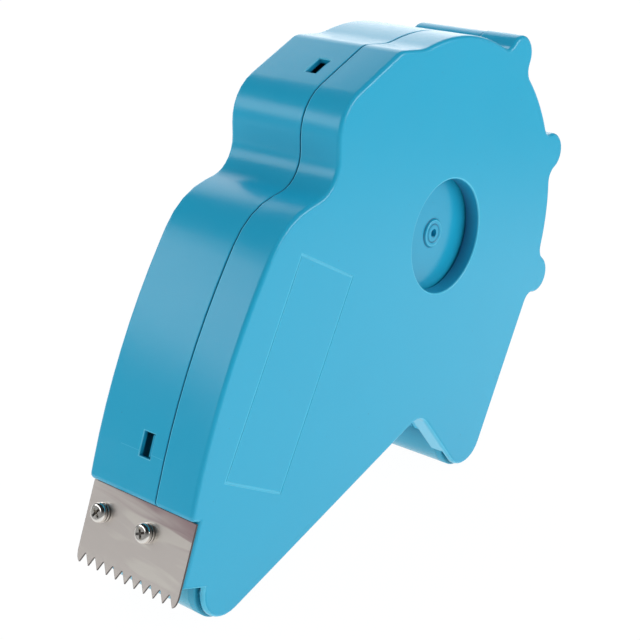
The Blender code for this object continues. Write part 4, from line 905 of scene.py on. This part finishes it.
def screw_blank():
    """A pan head on a plain shank, with its cross recess punched in."""
    profile = [(0, HEAD_TOP)]
    for i in range(HEAD_STEPS + 1):
        angle = math.radians(90 - 90 * i / HEAD_STEPS)
        inward, down = HEAD_ROUND * (1 - math.cos(angle)), HEAD_ROUND * (1 - math.sin(angle))
        profile.append((HEAD_RADIUS - inward, HEAD_TOP - down))
    profile += [(HEAD_RADIUS, HEAD_UNDER + HEAD_FOOT_ROUND)]
    profile += [(HEAD_RADIUS - HEAD_FOOT_ROUND, HEAD_UNDER), (THREAD_ROOT, HEAD_UNDER)]
    profile += [(THREAD_ROOT, SCREW_TIP + TIP_CHAMFER), (THREAD_ROOT - TIP_CHAMFER, SCREW_TIP)]
    profile += [(0, SCREW_TIP)]
    blank = spun_up(profile, SCREW_STEPS)
    punch = bmesh.new()
    arm = [(RECESS_LENGTH, -RECESS_HALF), (RECESS_LENGTH, RECESS_HALF), (RECESS_HALF, RECESS_HALF)]
    border = []
    for _ in range(RECESS_ARMS):
        border += [punch.verts.new((x, y, HEAD_TOP + RECESS_HALF)) for x, y in arm]
        arm = [(-y, x) for x, y in arm]
    mouth = punch.faces.new(border)
    ends = bmesh.ops.extrude_face_region(punch, geom=[mouth])["geom"]
    low = [item for item in ends if isinstance(item, bmesh.types.BMVert)]
    bmesh.ops.scale(punch, verts=low, vec=(RECESS_TAPER, RECESS_TAPER, 1))
    bmesh.ops.translate(punch, verts=low, vec=(0, 0, -RECESS_DEPTH - RECESS_HALF))
    bmesh.ops.recalc_face_normals(punch, faces=punch.faces)
    shape = cut_by(blank, punch)
    # Faces in the cross recess get painted shade.
    recess_shade = shape.faces.layers.float.new("eased")
    for face in shape.faces:
        middle = face.calc_center_median()
        in_recess = HEAD_UNDER < middle.z < HEAD_TOP - RECESS_HALF
        if in_recess and middle.xy.length < RECESS_LENGTH:
            face[recess_shade] = 1.0
    return shape


def coil(section, rise, angle, steps):
    """A bmesh of a wire coiled about Z, from its section's (radius, height) corners. It rises
    a little at each step, and its two ends are closed."""
    shape = bmesh.new()
    points = [shape.verts.new((radius, 0, height)) for radius, height in section]
    edges = [shape.edges.new(pair) for pair in zip(points, points[1:] + points[:1])]
    bmesh.ops.spin(shape, geom=points + edges, cent=(0, 0, 0), axis=(0, 0, 1), dvec=(0, 0, rise),
                   angle=angle, steps=steps, use_merge=False, use_duplicate=False)
    ends = [edge for edge in shape.edges if len(edge.link_faces) == 1]
    bmesh.ops.holes_fill(shape, edges=ends, sides=len(section))
    bmesh.ops.recalc_face_normals(shape, faces=shape.faces)
    return shape


def screw_thread():
    """The rolled thread, one helical ridge round the shank."""
    start = HEAD_UNDER - THREAD_PITCH * 2
    flank = THREAD_PITCH * THREAD_FLANK
    crest = flank * THREAD_CREST
    foot = THREAD_ROOT - THREAD_SINK
    section = [(foot, start - flank), (SHANK_RADIUS, start - crest)]
    section += [(SHANK_RADIUS, start + crest), (foot, start + flank)]
    turns = (start - SCREW_TIP - THREAD_PITCH) / THREAD_PITCH
    steps = int(turns * THREAD_STEPS)
    return coil(section, -THREAD_PITCH / THREAD_STEPS, math.tau * steps / THREAD_STEPS, steps)


def set_on_blade(shape, along, angle):
    """Turns a fastener about its own axis, and sets it at its hole in the blade."""
    hole = Matrix.Translation((-along, -SCREW_DROP, 0))
    shape.transform(BLADE_FRAME @ hole @ Matrix.Rotation(angle, 4, "Z"))


nickel_plate = plated_metal("nickel_plate", NICKEL, NICKEL_ROUGHNESS)
for side, along in SCREW_PLACES.items():
    shape = screw_blank()
    ridge = bpy.data.meshes.new("ridge")
    thread = screw_thread()
    thread.to_mesh(ridge)
    thread.free()
    shape.from_mesh(ridge)
    bpy.data.meshes.remove(ridge)
    set_on_blade(shape, along, RECESS_TURNS[side])
    show("screw_" + side, shape, "case", nickel_plate, ["blade_screw_" + side])


# Spring washers: square-section steel wire coiled one turn, split and sprung a little out
# of line, then plated. Each lies between the blade and its screw's head.
WASHER_OUT = 0.0040
WASHER_BORE = 0.0022
WASHER_LOW = 0.0002
WASHER_HIGH = 0.0014
WASHER_SPRING = 0.00018
WASHER_GAP = math.radians(13)
WASHER_STEPS = 56
WASHER_EDGE = 0.00012
WASHER_TURNS = {"near": math.radians(-64), "far": math.radians(-80)}

for side, along in SCREW_PLACES.items():
    high = WASHER_HIGH - WASHER_SPRING
    section = [(WASHER_BORE, WASHER_LOW), (WASHER_OUT, WASHER_LOW)]
    section += [(WASHER_OUT, high), (WASHER_BORE, high)]
    shape = coil(section, WASHER_SPRING / WASHER_STEPS, math.tau - WASHER_GAP, WASHER_STEPS)
    sharp = [edge for edge in shape.edges if edge.calc_face_angle(0) > EDGE_ANGLE]
    bmesh.ops.bevel(shape, geom=sharp, offset=WASHER_EDGE, offset_type="OFFSET", affect="EDGES",
                    segments=EDGE_STEPS, profile=0.5, material=-1, clamp_overlap=True)
    set_on_blade(shape, along, WASHER_TURNS[side])
    show("washer_" + side, shape, "case", nickel_plate, ["spring_washer_" + side])


# Snap hooks: two springy arms moulded with the cover, of the case's plastic. They reach
# under the main case's rim, and their barbs catch in its two windows.
for place in ("front", "top"):
    shape = merged("snap_hook_" + place)
    show("hook_" + place, shape, "cover", case_plastic, ["snap_hook_" + place])


# Side cover: the narrow shell, moulded in the case's plastic, with the round window and
# an engraved frame left bare. It closes on the seam, whose lip carries a painted highlight.
NEAR_FACE = -0.028
SEAM_LIGHT = 0.00062
# Painted shade on the cover's side of the seam.
COVER_SEAM_SHADE = 1.0
PANEL_MIDDLE = Vector((-0.0656, NEAR_FACE, 0.0890))
PANEL_HALF = (0.0463, 0.0192)
PANEL_AXIS = Vector((0.5, 0, 0.866025))
PANEL_EDGE = 0.00030
PANEL_DROP = 0.0001
# Shares of painted highlight on the engraved frame's edges and in its groove.
PANEL_HIGHLIGHT = 0.5
GROOVE_HIGHLIGHT = 0.6
MOUTH_RADIUS = 0.025
MOUTH_FOOT = -0.0214
MOUTH_EDGE = 0.0009
# Share of painted highlight on the window's mouth.
MOUTH_HIGHLIGHT = 0.7
MOUTH_DEPTH = (0.12, 1.1)
MOUTH_SHADE = (0.35, 0.65)
MOUTH_AREA = 0.000009
# The last value is the darkness of painted shade close to the wall at the window's foot.
MOUTH_CORNER = (0.2, 0.08, 0.25)  # how near the wall, how deep, and how dark
NOTCH_SIDE = Vector((0.0350, -0.0250, 0.0270))
NOTCH_REACH = 0.016
UPRIGHT = 0.1


def in_panel(point):
    """Says whether a point lies over the engraved frame, by the frame's own axes."""
    away = point - PANEL_MIDDLE
    along, across = away.dot(PANEL_AXIS), away.x * PANEL_AXIS.z - away.z * PANEL_AXIS.x
    return abs(along) < PANEL_HALF[0] and abs(across) < PANEL_HALF[1]


def at_panel(edge):
    """Picks the engraved frame's edges on the near face."""
    on_face = all(abs(vert.co.y - NEAR_FACE) < PANEL_DROP for vert in edge.verts)
    return on_face and all(in_panel(vert.co) for vert in edge.verts)


shape = merged("side_cover")
ease_edges(shape, PANEL_EDGE, at_panel, pale=PANEL_HIGHLIGHT)
ease_edges(shape, SEAM_LIGHT, at_seam)
ease_edges(shape, SEAT_EDGE, at_blade_seat, pale=SEAT_HIGHLIGHT)
mark_edges(shape, COVER_SEAM_SHADE)

# The mouth of the round window and the engraved line carry a painted highlight, and the
# notch's sloping wall a painted reflection of the white table.
light_and_marks = shape.faces.layers.float.get("eased")
for face in shape.faces:
    middle = face.calc_center_median()
    out = from_hub_axis(middle) - MOUTH_RADIUS
    narrow = face.calc_area() < MOUTH_AREA
    if abs(out) < MOUTH_EDGE and middle.y < NEAR_FACE + MOUTH_EDGE and narrow:
        face[light_and_marks] = MOUTH_HIGHLIGHT
    # The notch's wall gets a painted reflection of the white table.
    upright = abs(face.normal.y) < UPRIGHT and middle.y < SEAM_PLACE
    if upright and (middle - NOTCH_SIDE).length < NOTCH_REACH:
        face[light_and_marks] = 1.0
    if NEAR_FACE + PANEL_DROP < middle.y < NEAR_FACE + PANEL_EDGE * 2 and in_panel(middle):
        face[light_and_marks] = GROOVE_HIGHLIGHT

# Painted shade darkens the window's wall towards its foot, most on the side away from the nose.
corner_reach, corner_depth, corner_shade = MOUTH_CORNER
sunk = shape.verts.layers.float.get("sunk")
for vert in shape.verts:
    out = abs(from_hub_axis(vert.co) - MOUTH_RADIUS)
    depth = (vert.co.y - NEAR_FACE) / (MOUTH_FOOT - NEAR_FACE)
    if out < MOUTH_EDGE and MOUTH_DEPTH[0] < depth < MOUTH_DEPTH[1]:
        right = max(0.0, (vert.co.x - HUB_AXIS[0]) / MOUTH_RADIUS)
        vert[sunk] = min(1.0, depth * (MOUTH_SHADE[0] + MOUTH_SHADE[1] * right))
    elif out < MOUTH_EDGE * corner_reach and corner_depth < depth:
        vert[sunk] = corner_shade
show("cover_shell", shape, "cover", case_plastic, ["side_cover"])
